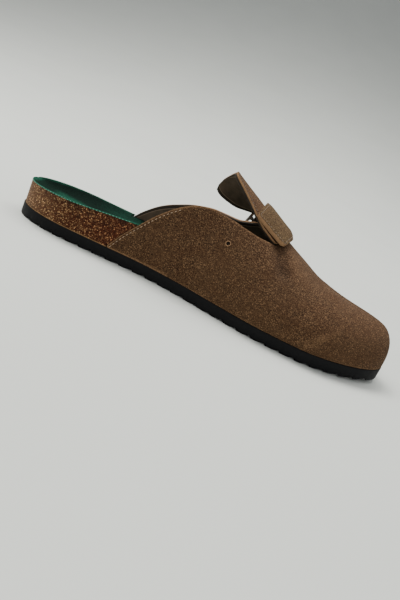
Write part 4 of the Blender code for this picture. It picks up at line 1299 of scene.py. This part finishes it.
def bed_layer(low, high):
    """The six sides of a layer of the footbed between two height functions."""
    shares = side_shares(BED_COLUMNS)
    bottom, top = [], []
    for x in bed_stations():
        plans = [bed_plan(x, share) for share in shares]
        bottom.append([p + Vector((0, 0, low(x, share))) for p, share in zip(plans, shares)])
        top.append([p + Vector((0, 0, high(x, share))) for p, share in zip(plans, shares)])
    return slab_patches(bottom, top)


def make_wall_cutter():
    """The space of the upper's wall, with a meeting gap inside it, as a cutter for the footbed's layers."""
    rows = []
    for side in (-1, 1):
        side_rows = []
        for row in wall_rows(side, CUTTER_STEP, CUTTER_RIBS, CUTTER_ROWS):
            over_edge = row[-1] + (row[-1] - row[-2]).normalized() * CUTTER_STEP_BACK
            side_rows.append([row[0] - Vector((0, 0, CUTTER_SKIRT))] + row + [over_edge])
        side_rows.insert(0, [p - Vector((CUTTER_STEP_BACK, 0, 0)) for p in side_rows[0]])
        rows.append(side_rows)
    bm = grid_bmesh(rows)
    face_out(bm, VAMP_MIDDLE)
    obj = add_piece("wall_cutter", bm, [])
    thickness = CUTTER_REACH_OUT + UPPER_WALL + WALL_ROOM
    thicken(obj, thickness, 2 * CUTTER_REACH_OUT / thickness - 1)
    return applied_mesh(obj)


def strap_under(run, share, place):
    """Point of the strap's underside, over the face, or in the buckle's axes where it passes the buckle."""
    rear, front = smooth(STRAP_RUN, run, "lift"), smooth(STRAP_RUN, run, "front")
    offset = share * STRAP_WIDTH / 2
    droop = (max(0.0, abs(offset) - STRAP_DROOP_START) / (STRAP_WIDTH / 2 - STRAP_DROOP_START)) ** 2
    droop *= STRAP_DROOP_REAR if share < 0 else STRAP_DROOP_FRONT * (front - DROOP_FROM) / DROOP_SPAN
    loose = over_face(run, offset, rear + (front - rear) * (share + 1) / 2 - max(0.0, droop))
    x = run - BUCKLE_ARC
    held = place @ Vector((x, smooth(BUCKLE_PASS, x, "y"), offset))
    return held.lerp(loose, ease((abs(x) - PASS_HALF) / PASS_BLEND))


def buckle_axes():
    """Axes of the buckle: x along the strap towards the tail, y out of the shoe, z across the strap."""
    step = 1 * MM
    along = over_face(BUCKLE_ARC + step, 0, 0) - over_face(BUCKLE_ARC - step, 0, 0)
    out = face_normal(*strap_spot(BUCKLE_ARC, 0))
    along = (along - out * along.dot(out)).normalized()
    axes = Matrix((along, out, along.cross(out))).transposed().to_4x4()
    return Matrix.Translation(over_face(BUCKLE_ARC, 0, 0)) @ axes


def strap_top(run, share, place):
    """Point of the strap's outer face, and the way it looks."""
    step = 0.8 * MM
    side = 0.04
    along = strap_under(run + step, share, place) - strap_under(run - step, share, place)
    across = strap_under(run, share + side, place) - strap_under(run, share - side, place)
    out = along.cross(across).normalized()
    if out.dot(place.to_3x3() @ Vector((0, 1, 0))) < 0 and abs(run - BUCKLE_ARC) < PASS_HALF:
        out.negate()
    if out.z < 0 and run < STRAP_SEWN_END:
        out.negate()
    return strap_under(run, share, place) + out * STRAP_THICKNESS, out


class CLOG_OT_outsole(bpy.types.Operator):
    """Make the black outsole with its cross teeth"""

    bl_idname = "clog.outsole"
    bl_label = "Outsole"

    def execute(self, context):
        bottom, top = outsole_rows()
        bm = grid_bmesh(slab_patches(bottom, top), WELD)
        obj = add_piece("outsole_rubber", bm, [rubber_material(shoe_settings().sole)], 25)
        round_edges(obj, 0.35 * MM, 2, 35)
        finish_piece(obj, "black_rubber", "outsole", smooth_angle=30)
        return {"FINISHED"}


class CLOG_OT_footbed(bpy.types.Operator):
    """Make the cork footbed, its suede sock and the sock's trimmed edge"""

    bl_idname = "clog.footbed"
    bl_label = "Footbed"

    def execute(self, context):
        sole = shoe_settings().sole
        cutter = make_wall_cutter()
        self.make_cork(sole, cutter)
        self.make_sock(sole, cutter)
        bpy.data.objects.remove(cutter)
        self.make_trimmed_edge(sole)
        return {"FINISHED"}

    def make_cork(self, sole, cutter):
        cork_patches = bed_layer(
            lambda x, share: SOLE_THICKNESS + MEET_GAP + spring(x),
            lambda x, share: bed_height(x, share) - SOCK_THICKNESS - LAYER_ROOM)
        cork = add_piece("cork_footbed", grid_bmesh(cork_patches, WELD), [cork_material(sole)], 35)
        cut_by(cork, cutter)
        finish_piece(cork, "cork", "midsole", smooth_angle=35)

    def make_sock(self, sole, cutter):
        sock_patches = bed_layer(lambda x, share: bed_height(x, share) - SOCK_THICKNESS, bed_height)
        bm = grid_bmesh(sock_patches, WELD)
        # The "rim" layer holds the pale rim band and painted light on the floor of the heel cup.
        layer = bm.verts.layers.float.new("rim")
        for vert in bm.verts:
            vert[layer] = self.paleness_and_painted_light(vert.co)
        sock = add_piece("suede_sock", bm, [sock_material(sole)], 35)
        cut_by(sock, cutter)
        finish_piece(sock, "green_suede", "insole", smooth_angle=35)

    def paleness_and_painted_light(self, point):
        """How pale the sock is at a point: along its rim and forward of the heel cup, with painted light from
        above on the floor of the heel cup.
        """
        x = min(max(point.x, BED_INSET), SOLE_LENGTH - BED_INSET)
        edges = [abs(point.y - bed_plan(x, side).y) for side in (-1, 1)]
        band = max(0.0, 1 - min(edges + [x - BED_INSET]) / SOCK_BAND)
        sunk = smooth(BED_HEIGHTS, x, "medial" if point.y < 0 else "lateral") - point.z
        depth = max(1 * MM, smooth(BED_HEIGHTS, x, "medial") - smooth(BED_HEIGHTS, x, "middle"))
        # Painted light: the floor of the heel cup is made paler, as if lit from above.
        floor = SOCK_LIT_FLOOR_SHARE * ease((sunk / depth - 0.5) / 0.3) * ease((x - 7 * MM) / (11 * MM))
        forward = SOCK_FRONT_SHARE * ease((x - 15 * MM) / (55 * MM))
        return max(band, floor, forward)

    def make_trimmed_edge(self, sole):
        rims = []
        for side, last_x in SOCK_TRIM_ENDS.items():
            rim = []
            for x in [x for x in bed_stations() if x < last_x]:
                rim.append(bed_plan(x, side) + Vector((0, side * TRIM_OUT, bed_height(x, side) - TRIM_DROP)))
            rims.append(rim)
        fibres = thread_material("sock_edge_fibres", tinted(tuple(sole.sock_rim_and_lit_floor), (9.0, 4.2, 5.0)))
        values = {"Pitch": TRIM_PITCH, "Length": TRIM_LENGTH, "Radius": TRIM_RADIUS, "Material": fibres}
        paths = [list(reversed(rims[0])) + rims[1]]
        grow_on("sock_trimmed_edge", paths, stitch_tree(), values)


def border_distances(bm, reach):
    """Distance of each point that lies within reach of an open edge from that edge, along the mesh."""
    near = {vert: 0.0 for vert in bm.verts if vert.is_boundary}
    queue = list(near)
    while queue:
        vert = queue.pop(0)
        for edge in vert.link_edges:
            other = edge.other_vert(vert)
            gap = near[vert] + edge.calc_length()
            if gap < near.get(other, reach):
                near[other] = gap
                queue.append(other)
    return near


def rub_and_shade_attribute(bm):
    """Writes how rubbed the nap is at each point, from the creases and along cut edges, and, as values below
    0, the painted shade in crease troughs.
    """
    layer = bm.verts.layers.float.new("rub")
    near = border_distances(bm, EDGE_RUB_WIDTH)
    for vert in bm.verts:
        strength = REAR_EDGE_RUB if vert.co.x < REAR_EDGE_END else EDGE_RUB
        share = 1 - near.get(vert, EDGE_RUB_WIDTH) / EDGE_RUB_WIDTH
        vert[layer] = relief(vert.co)[1] + strength * share


class CLOG_OT_upper(bpy.types.Operator):
    """Make the suede upper and its lining"""

    bl_idname = "clog.upper"
    bl_label = "Upper"

    def execute(self, context):
        look = shoe_settings().suede
        self.make_suede(look)
        self.make_lining(look)
        return {"FINISHED"}

    def make_suede(self, look):
        rows = [wall_rows(side, STATION_STEP, FAN_RIBS, QUARTER_ROWS) for side in (-1, 1)]
        bm = grid_bmesh(rows + [crown_rows(STATION_STEP, FAN_RIBS, CROWN_HALF_ROWS)])
        face_out(bm, VAMP_MIDDLE)
        rub_and_shade_attribute(bm)
        moves = {vert: vert.normal * relief(vert.co)[0] for vert in bm.verts}
        for vert, move in moves.items():
            vert.co += move * ease((vert.co.z - SOLE_THICKNESS - spring(vert.co.x)) / FOOT_BLEND)
        mats = [suede("taupe_suede", look), cut_leather("suede_cut_edge", look)]
        obj = add_piece("suede_upper", bm, mats, 60)
        thicken(obj, SUEDE_LAYER, -1, 1)
        round_edges(obj, 0.35 * MM)
        finish_piece(obj, "taupe_suede", "upper", smooth_angle=60)

    def make_lining(self, look):
        rows = [wall_rows(side, LINING_STEP, LINING_RIBS, LINING_ROWS, LINING_SET_BACK) for side in (-1, 1)]
        bm = grid_bmesh(rows + [crown_rows(LINING_STEP, LINING_RIBS, LINING_HALF_ROWS, LINING_SET_BACK)])
        face_out(bm, VAMP_MIDDLE)
        layer = bm.verts.layers.float.new("border")
        for vert, gap in border_distances(bm, LINING_BORDER).items():
            vert[layer] = 1 - gap / LINING_BORDER
        moves = {vert: vert.normal * (relief(vert.co)[0] - SUEDE_LAYER - LAYER_GAP) for vert in bm.verts}
        for vert, move in moves.items():
            vert.co += move
        mats = [lining_leather("lining_leather", look), lining_leather("lining_cut_edge", look, 0.7)]
        obj = add_piece("upper_lining", bm, mats, 60)
        thicken(obj, UPPER_WALL - SUEDE_LAYER - LAYER_GAP, -1, 1)
        round_edges(obj, 0.2 * MM)
        finish_piece(obj, "taupe_suede", "upper", smooth_angle=60)


def on_face(x, z, side, lift):
    """Where a quarter's creased face is at an x and a height, lifted off it, and the way that it looks."""
    rib = rib_at(side, round(x, 6))
    v = rib.v_at_height(z)
    spot = rib.point(v)
    out = face_normal(x, side * (1 - v))
    return spot + out * (relief(spot)[0] + lift), out


def quarter_seam(side, margin, lift):
    """Path of the seam along a quarter's rear edge, a margin inside it."""
    start = top_line(side)[0].x
    count = 90
    crowding = 1.4
    edge = []
    for k in range(count + 1):
        x = start + (SEAM_ENDS[side] - start) * (k / count) ** crowding
        edge.append(rib_at(side, round(x, 6)).point(quarter_v(side, x)))
    path = []
    for before, here, after in zip(edge, edge[1:], edge[2:]):
        tangent = (after - before).normalized()
        inward = Vector((tangent.z, 0, -tangent.x)).normalized()
        spot = here + inward * margin
        if spot.z > SOLE_THICKNESS + SEAM_CLEARANCE:
            path.append(on_face(spot.x, spot.z, side, lift)[0])
    return path


def lobe_seam(margin, lift):
    """Path of the border seam round the tongue lobe: forward edge to rear, across, and forward again."""
    back_x = LOBE_TIP[0].x + margin
    count, across = 46, 16

    def edge(side, start, end):
        xs = [start + (end - start) * k / count for k in range(count + 1)]
        return [(x, side * (1 - lobe_v(side, x) - margin / rib_at(side, round(x, 6)).length())) for x in xs]

    inner = edge(-1, LOBE_SEAM_FRONTS[-1], back_x)
    outer = edge(1, back_x, LOBE_SEAM_FRONTS[1])
    first, last = inner[-1][1], outer[0][1]
    rear = [(back_x, first + (last - first) * k / across) for k in range(1, across)]
    spots = []
    for x, u in inner + rear + outer:
        spot = lobe_point(x, u)
        spots.append(spot + face_normal(spot.x, u) * (relief(spot)[0] + lift))
    return spots


def punch(name, rim_name, edge_name, spots, facings, hole):
    """Holes on spots of the leather: each a dark disc of painted shadow sunk in the leather, with a rim of
    cut leather.
    """
    values = {"Radius": hole.radius, "Depth": HOLE_DEPTH, "Material": hole_shadow_material()}
    sunk = [spot - out * hole.sunk for spot, out in zip(spots, facings)]
    grow_on(name, [sunk], disc_tree(), values, facings)
    edge = cut_leather(edge_name, shoe_settings().suede)
    values = {"Radius": hole.rim_radius, "Wire": hole.wire, "Material": edge}
    raised = [spot + out * hole.raised for spot, out in zip(spots, facings)]
    grow_on(rim_name, [raised], ring_tree(), values, facings)


class CLOG_OT_seams(bpy.types.Operator):
    """Make the upper's stitches and the small hole in its inner quarter"""

    bl_idname = "clog.seams"
    bl_label = "Seams"

    def execute(self, context):
        trim = shoe_settings().trim
        group = stitch_tree()
        thread = thread_material("tan_thread", tuple(trim.thread))
        dark_thread = thread_material("brown_thread", shade(tuple(trim.thread), 0.13))
        values = {"Pitch": trim.pitch, "Length": trim.stitch, "Radius": trim.radius, "Material": thread}
        paths = [quarter_seam(side, trim.margin, STITCH_LIFT) for side in (-1, 1)]
        grow_on("quarter_stitches", paths, group, values)
        values["Material"] = dark_thread
        grow_on("lobe_stitches", [lobe_seam(trim.margin, LOBE_STITCH_LIFT)], group, values)
        spot, out = on_face(PINHOLE_X, PINHOLE_Z, -1, 0.0)
        punch("pinhole", "pinhole_rim", "pinhole_edge", [spot], [out], PINHOLE)
        return {"FINISHED"}


class CLOG_OT_strap(bpy.types.Operator):
    """Make the instep strap, its stitches and its holes"""

    bl_idname = "clog.strap"
    bl_label = "Strap"

    def execute(self, context):
        look, trim = shoe_settings().suede, shoe_settings().trim
        place = buckle_axes()
        first, last = STRAP_RUN[0].arc, STRAP_RUN[-1].arc
        count = round((last - first) / STRAP_STEP)
        runs = [first + (last - first) * k / count for k in range(count + 1)]
        shares = side_shares(STRAP_COLUMNS)
        rows = []
        for run in runs:
            row = []
            for share in shares:
                corner = max(0.0, STRAP_WIDTH / 2 * (abs(share) - 1) + STRAP_CORNER) / STRAP_CORNER
                cut_in = STRAP_CORNER * (1 - math.sqrt(max(0.0, 1 - corner * corner)))
                from_first = max(0.0, 1 - (run - first) / STRAP_END)
                from_last = max(0.0, 1 - (last - run) / STRAP_END)
                row.append(strap_under(run + cut_in * (from_first - from_last), share, place))
            rows.append(row)
        bm = grid_bmesh([rows])
        face_out(bm, Vector((STRAP_X, 0, 0)))
        layer = bm.verts.layers.float.new("rub")
        for vert in bm.verts:
            vert[layer] = STRAP_EDGE_RUB if vert.is_boundary else STRAP_RUB
        mats = [suede("strap_suede", look, STRAP_TINT), cut_leather("strap_cut_edge", look)]
        obj = add_piece("suede_strap", bm, mats, 60)
        thicken(obj, STRAP_THICKNESS, 1, 1)
        round_edges(obj, 0.8 * MM, 3)
        cutter = self.prong_tunnel(place)
        cut_by(obj, cutter)
        finish_piece(obj, "taupe_suede", "strap", smooth_angle=60)
        bpy.data.objects.remove(cutter)
        self.make_stitches(trim, place, first, last)
        self.make_holes(place)
        return {"FINISHED"}

    def prong_tunnel(self, place):
        points = prong_points()[PRONG_HOOK_POINTS // 2:]
        return tube_piece("prong_tunnel", points, [PRONG_TUNNEL] * len(points), place, [])

    def make_stitches(self, trim, place, first, last):
        edge = 1 - trim.margin / (STRAP_WIDTH / 2)
        start, end = first + trim.margin, last - trim.margin
        along, across = 150, 12
        path = [(end + (start - end) * k / along, -edge) for k in range(along + 1)]
        path += [(start, -edge + 2 * edge * k / across) for k in range(1, across)]
        path += [(start + (end - start) * k / along, edge) for k in range(along + 1)]
        path += [(end, edge - 2 * edge * k / across) for k in range(1, across)]
        spots = []
        for run, share in path:
            spot, out = strap_top(run, share, place)
            spots.append(spot + out * STRAP_STITCH_LIFT)
        values = {
            "Pitch": trim.pitch * 0.85, "Length": trim.stitch * 0.8, "Radius": trim.radius * 0.9,
            "Material": thread_material("strap_thread", shade(tuple(trim.thread), 0.42)),
        }
        grow_on("strap_stitches", [spots], stitch_tree(), values)

    def make_holes(self, place):
        tops = [strap_top(BUCKLE_ARC + distance, 0.0, place) for distance in HOLE_DISTANCES]
        spots, facings = zip(*tops)
        punch("strap_holes", "strap_hole_rims", "strap_hole_edge", spots, facings, STRAP_HOLE)


def rounded_rectangle(x0, x1, y0, y1, radius, steps=8):
    centres = [(x1 - radius, y1 - radius, 0), (x0 + radius, y1 - radius, 90)]
    centres += [(x0 + radius, y0 + radius, 180), (x1 - radius, y0 + radius, 270)]
    points = []
    for cx, cy, start in centres:
        for k in range(steps + 1):
            angle = math.radians(start + 90 * k / steps)
            points.append((cx + radius * math.cos(angle), cy + radius * math.sin(angle)))
    return points


def plate_piece(name, outlines, half, matrix, materials):
    """A flat plate from closed outlines, the first the outer one; half is its half depth."""
    curve = bpy.data.curves.new(name, "CURVE")
    curve.dimensions = "2D"
    curve.fill_mode = "BOTH"
    curve.extrude = half
    for outline in outlines:
        spline = curve.splines.new("POLY")
        spline.points.add(len(outline) - 1)
        for point, (x, y) in zip(spline.points, outline):
            point.co = (x, y, 0, 1)
        spline.use_cyclic_u = True
    guide = bpy.data.objects.new(name + "_outline", curve)
    bpy.context.scene.collection.objects.link(guide)
    bpy.context.view_layer.update()
    mesh = bpy.data.meshes.new_from_object(guide.evaluated_get(bpy.context.evaluated_depsgraph_get()))
    bpy.data.objects.remove(guide)
    bm = bmesh.new()
    bm.from_mesh(mesh)
    bmesh.ops.remove_doubles(bm, verts=bm.verts, dist=0.01 * MM)
    bmesh.ops.dissolve_limit(bm, angle_limit=math.radians(0.05), verts=bm.verts, edges=bm.edges)
    bmesh.ops.recalc_face_normals(bm, faces=bm.faces)
    bm.transform(matrix)
    return add_piece(name, bm, materials, 30)


def tube_piece(name, points, radii, place, materials):
    """A round bar along points (x, y) of the buckle's own axes, closed at both ends."""
    bm = bmesh.new()
    rings = []
    for n, (x, y) in enumerate(points):
        before = Vector(points[max(0, n - 1)])
        after = Vector(points[min(len(points) - 1, n + 1)])
        tangent = (after - before).normalized()
        normal = Vector((-tangent.y, tangent.x))
        ring = []
        for k in range(PRONG_SIDES):
            angle = 2 * math.pi * k / PRONG_SIDES
            out = normal * math.cos(angle) * radii[n]
            ring.append(bm.verts.new(place @ Vector((x + out.x, y + out.y, math.sin(angle) * radii[n]))))
        rings.append(ring)
    for a, b in zip(rings, rings[1:]):
        for k in range(PRONG_SIDES):
            bm.faces.new((a[k], a[(k + 1) % PRONG_SIDES], b[(k + 1) % PRONG_SIDES], b[k]))
    bm.faces.new(rings[0])
    bm.faces.new(rings[-1])
    bmesh.ops.recalc_face_normals(bm, faces=bm.faces)
    return add_piece(name, bm, materials, 50)


def prong_points():
    """Path of the prong, hooked round the bar and lying over the inner end of the frame."""
    points = []
    for k in range(PRONG_HOOK_POINTS):
        angle = math.radians(-60 + 30 * k)
        points.append((PRONG_HOOK * math.cos(angle), BUCKLE_HEIGHT + 0.88 * PRONG_HOOK * math.sin(angle)))
    end_x = BUCKLE_DEPTH / 2 - 0.5 * MM
    tip_y = BUCKLE_HEIGHT + BUCKLE_THICKNESS / 2 + MEET_GAP + PRONG_RADIUS + 0.1 * MM
    tip_y -= end_x * math.sin(math.radians(BUCKLE_TILT))
    return points + [(-end_x + 7 * MM, tip_y + 0.3 * MM), (-end_x, tip_y)]


class CLOG_OT_buckle(bpy.types.Operator):
    """Make the buckle's frame, its prong and the tab that holds it"""

    bl_idname = "clog.buckle"
    bl_label = "Buckle"

    def execute(self, context):
        place = buckle_axes()
        metal = metal_material("gunmetal", shoe_settings().trim)
        self.make_frame(place, metal)
        self.make_prong(place, metal)
        self.make_tab(place)
        return {"FINISHED"}

    def make_frame(self, place, metal):
        depth, length = BUCKLE_DEPTH / 2, BUCKLE_LENGTH / 2
        bar = BUCKLE_CENTRE_BAR / 2
        outlines = [rounded_rectangle(-depth, depth, -length, length, BUCKLE_CORNER)]
        corner = (BUCKLE_CORNER - BUCKLE_RAIL / 2) * 0.6
        for x0, x1 in ((-depth + BUCKLE_END_BAR, -bar), (bar, depth - BUCKLE_END_BAR)):
            outlines.append(rounded_rectangle(x0, x1, -length + BUCKLE_RAIL, length - BUCKLE_RAIL, corner))
        flat = Matrix.Rotation(math.radians(90), 4, "X")
        tilt = Matrix.Rotation(math.radians(BUCKLE_TILT), 4, "Z")
        lift = Matrix.Translation((0, BUCKLE_HEIGHT, 0))
        obj = plate_piece("buckle_frame", outlines, BUCKLE_THICKNESS / 2, place @ lift @ tilt @ flat, [metal])
        round_edges(obj, 0.5 * MM, 4, 60)
        finish_piece(obj, "gunmetal", "buckle", smooth_angle=40)

    def make_prong(self, place, metal):
        points = prong_points()
        fine, radii = [], []
        for n in range(len(points) - 1):
            for k in range(4):
                fine.append(tuple(Vector(points[n]).lerp(Vector(points[n + 1]), k / 4)))
        fine.append(points[-1])
        for n in range(len(fine)):
            from_tip = (len(fine) - 1 - n) / 4
            blunt = 0.6 if n == len(fine) - 1 else 1.0
            radii.append(PRONG_RADIUS * (0.72 + 0.28 * ease(from_tip / 2)) * blunt)
        obj = tube_piece("prong", fine, radii, place, [metal])
        finish_piece(obj, "gunmetal", "buckle_prong", smooth_angle=50)

    def make_tab(self, place):
        inverse = place.inverted()

        def over(run, lift):
            local = inverse @ over_face(BUCKLE_ARC + run, 0, lift)
            return (local.x, local.y)

        room = 0.3 * MM
        hole_x = BUCKLE_CENTRE_BAR / 2 + room
        hole_y = BUCKLE_THICKNESS / 2 + room
        steps = 5
        far = [over(TAB_LENGTH * (1 - k / steps), TAB_CLEARANCE) for k in range(steps - 1)]
        back = [over(TAB_LENGTH * (k + 1) / steps, TAB_CLEARANCE + 2 * TAB_LAYER) for k in range(1, steps)]
        round_bar = []
        for k in range(31):
            angle = math.radians(300 - 10 * k)
            x = (hole_x + TAB_LAYER) * math.cos(angle)
            round_bar.append((x, BUCKLE_HEIGHT + (hole_y + TAB_LAYER) * math.sin(angle)))
        hole = rounded_rectangle(-hole_x, hole_x, BUCKLE_HEIGHT - hole_y, BUCKLE_HEIGHT + hole_y, 0.6 * MM, 4)
        mats = [lining_leather("tab_leather", shoe_settings().suede)]
        obj = plate_piece("buckle_loop", [far + round_bar + back, hole], TAB_WIDTH / 2, place, mats)
        slot_bm = bmesh.new()
        bmesh.ops.create_cube(slot_bm, size=1)
        reach = hole_x + TAB_LAYER
        size = Matrix.Diagonal((2 * reach + 0.4 * MM, 8 * MM, PRONG_SLOT, 1))
        slot_bm.transform(place @ Matrix.Translation((0, BUCKLE_HEIGHT, 0)) @ size)
        cutter = add_piece("prong_slot", slot_bm, [])
        cut_by(obj, cutter)
        round_edges(obj, 0.2 * MM, 2, 50)
        finish_piece(obj, "tab_leather", "buckle_tab", smooth_angle=45)
        bpy.data.objects.remove(cutter)


def area_light(name, place, target, size, power, colour):
    light = bpy.data.lights.new(name, "AREA")
    light.shape = "DISK"
    light.size = size
    light.energy = power
    light.color = colour
    obj = bpy.data.objects.new(name, light)
    obj.location = place
    obj.rotation_euler = (target - place).to_track_quat("-Z", "Y").to_euler()
    bpy.context.scene.collection.objects.link(obj)
    return obj


class CLOG_OT_stage(bpy.types.Operator):
    """Make the floor and backdrop, the soft lights and the camera"""

    bl_idname = "clog.stage"
    bl_label = "Stage"

    def execute(self, context):
        self.make_floor()
        self.make_lights()
        self.make_camera(context)
        return {"FINISHED"}

    def make_floor(self):
        """One sheet: a floor that sweeps up into a backdrop far behind the shoe."""
        half_width, front, bend, radius, height = 7.0, -4.0, 0.7, 6.0, 9.0
        steps = 48
        profile = [(front, 0.0), (bend, 0.0)]
        for k in range(1, steps + 1):
            angle = math.radians(90 * k / steps)
            profile.append((bend + radius * math.sin(angle), radius * (1 - math.cos(angle))))
        profile.append((bend + radius, height))
        rows = [[Vector((x, y, z)) for x in (-half_width, half_width)] for y, z in profile]
        bm = grid_bmesh([rows])
        face_out(bm, Vector((0, 10, -10)))
        tree = Tree("pale_floor")
        base = tuple(shoe_settings().stage.floor)
        clouds = tree.noise(0.25, 3.0, 0.5)
        colour = tree.mix(tree.map(clouds, 0.3, 0.7), shade(base, 0.985), shade(base, 1.015))
        mat = tree.finish(colour, 0.7, None, Specular_IOR_Level=0.2)
        obj = add_piece("floor", bm, [mat], 80)

    def make_lights(self):
        look = shoe_settings().stage
        middle = Vector((0, 0, 0.04))
        behind = Vector((0.1, 1.3, 0))
        heel_spot = Vector((-0.17, -0.06, 0))
        area_light("key_light", Vector((-1.0, 0.75, 2.5)), middle, 1.15, look.key, (1.0, 0.985, 0.955))
        area_light("fill_light", Vector((0.7, -2.6, 1.5)), middle, 2.2, look.fill, (0.97, 0.985, 1.0))
        area_light("wall_light", Vector((0.3, 1.3, 2.4)), behind, 2.4, look.wall, (1.0, 1.0, 0.98))
        area_light("heel_light", Vector((-0.55, 0.0, 0.75)), heel_spot, 0.4, look.heel, (1.0, 1.0, 0.97))
        world = bpy.data.worlds.new("room")
        world.use_nodes = True
        background = world.node_tree.nodes["Background"]
        background.inputs["Color"].default_value = (0.93, 0.96, 1.0, 1)
        background.inputs["Strength"].default_value = look.sky
        bpy.context.scene.world = world

    def make_camera(self, context):
        camera = bpy.data.cameras.new("photo_camera")
        camera.lens = CAMERA_LENS
        camera.sensor_width = CAMERA_SENSOR
        camera.clip_start = 0.01
        obj = bpy.data.objects.new("photo_camera", camera)
        turn = Matrix((CAMERA_RIGHT, CAMERA_UP, CAMERA_BACK)).transposed().to_4x4()
        obj.matrix_world = Matrix.Translation(CAMERA_PLACE + SHIFT) @ turn
        context.scene.collection.objects.link(obj)
        context.scene.camera = obj


class CLOG_PT_panel(bpy.types.Panel):
    """Lists the shoe's settings and the steps that make it"""

    bl_idname = "CLOG_PT_panel"
    bl_label = "Clog slipper"
    bl_space_type = "VIEW_3D"
    bl_region_type = "UI"
    bl_category = "Clog slipper"

    def draw(self, context):
        for part in ("suede", "sole", "trim", "stage"):
            group = getattr(context.scene.clog_slipper, part)
            box = self.layout.box()
            box.label(text=part.capitalize())
            for name in group.bl_rna.properties.keys():
                if name not in ("rna_type", "name"):
                    box.prop(group, name)
        for operator in OPERATORS:
            self.layout.operator(operator.bl_idname)


OPERATORS = (
    CLOG_OT_outsole,
    CLOG_OT_footbed,
    CLOG_OT_upper,
    CLOG_OT_seams,
    CLOG_OT_strap,
    CLOG_OT_buckle,
    CLOG_OT_stage,
)
SETTINGS = (SuedeSettings, SoleSettings, TrimSettings, StageSettings, ClogSettings)
CLASSES = SETTINGS + OPERATORS + (CLOG_PT_panel,)


def register():
    for item in CLASSES:
        bpy.utils.register_class(item)
    bpy.types.Scene.clog_slipper = bpy.props.PointerProperty(type=ClogSettings)


def unregister():
    del bpy.types.Scene.clog_slipper
    for item in reversed(CLASSES):
        bpy.utils.unregister_class(item)


def main():
    register()
    bpy.ops.clog.outsole()
    bpy.ops.clog.footbed()
    bpy.ops.clog.upper()
    bpy.ops.clog.seams()
    bpy.ops.clog.strap()
    bpy.ops.clog.buckle()
    bpy.ops.clog.stage()


if __name__ == "__main__":
    main()
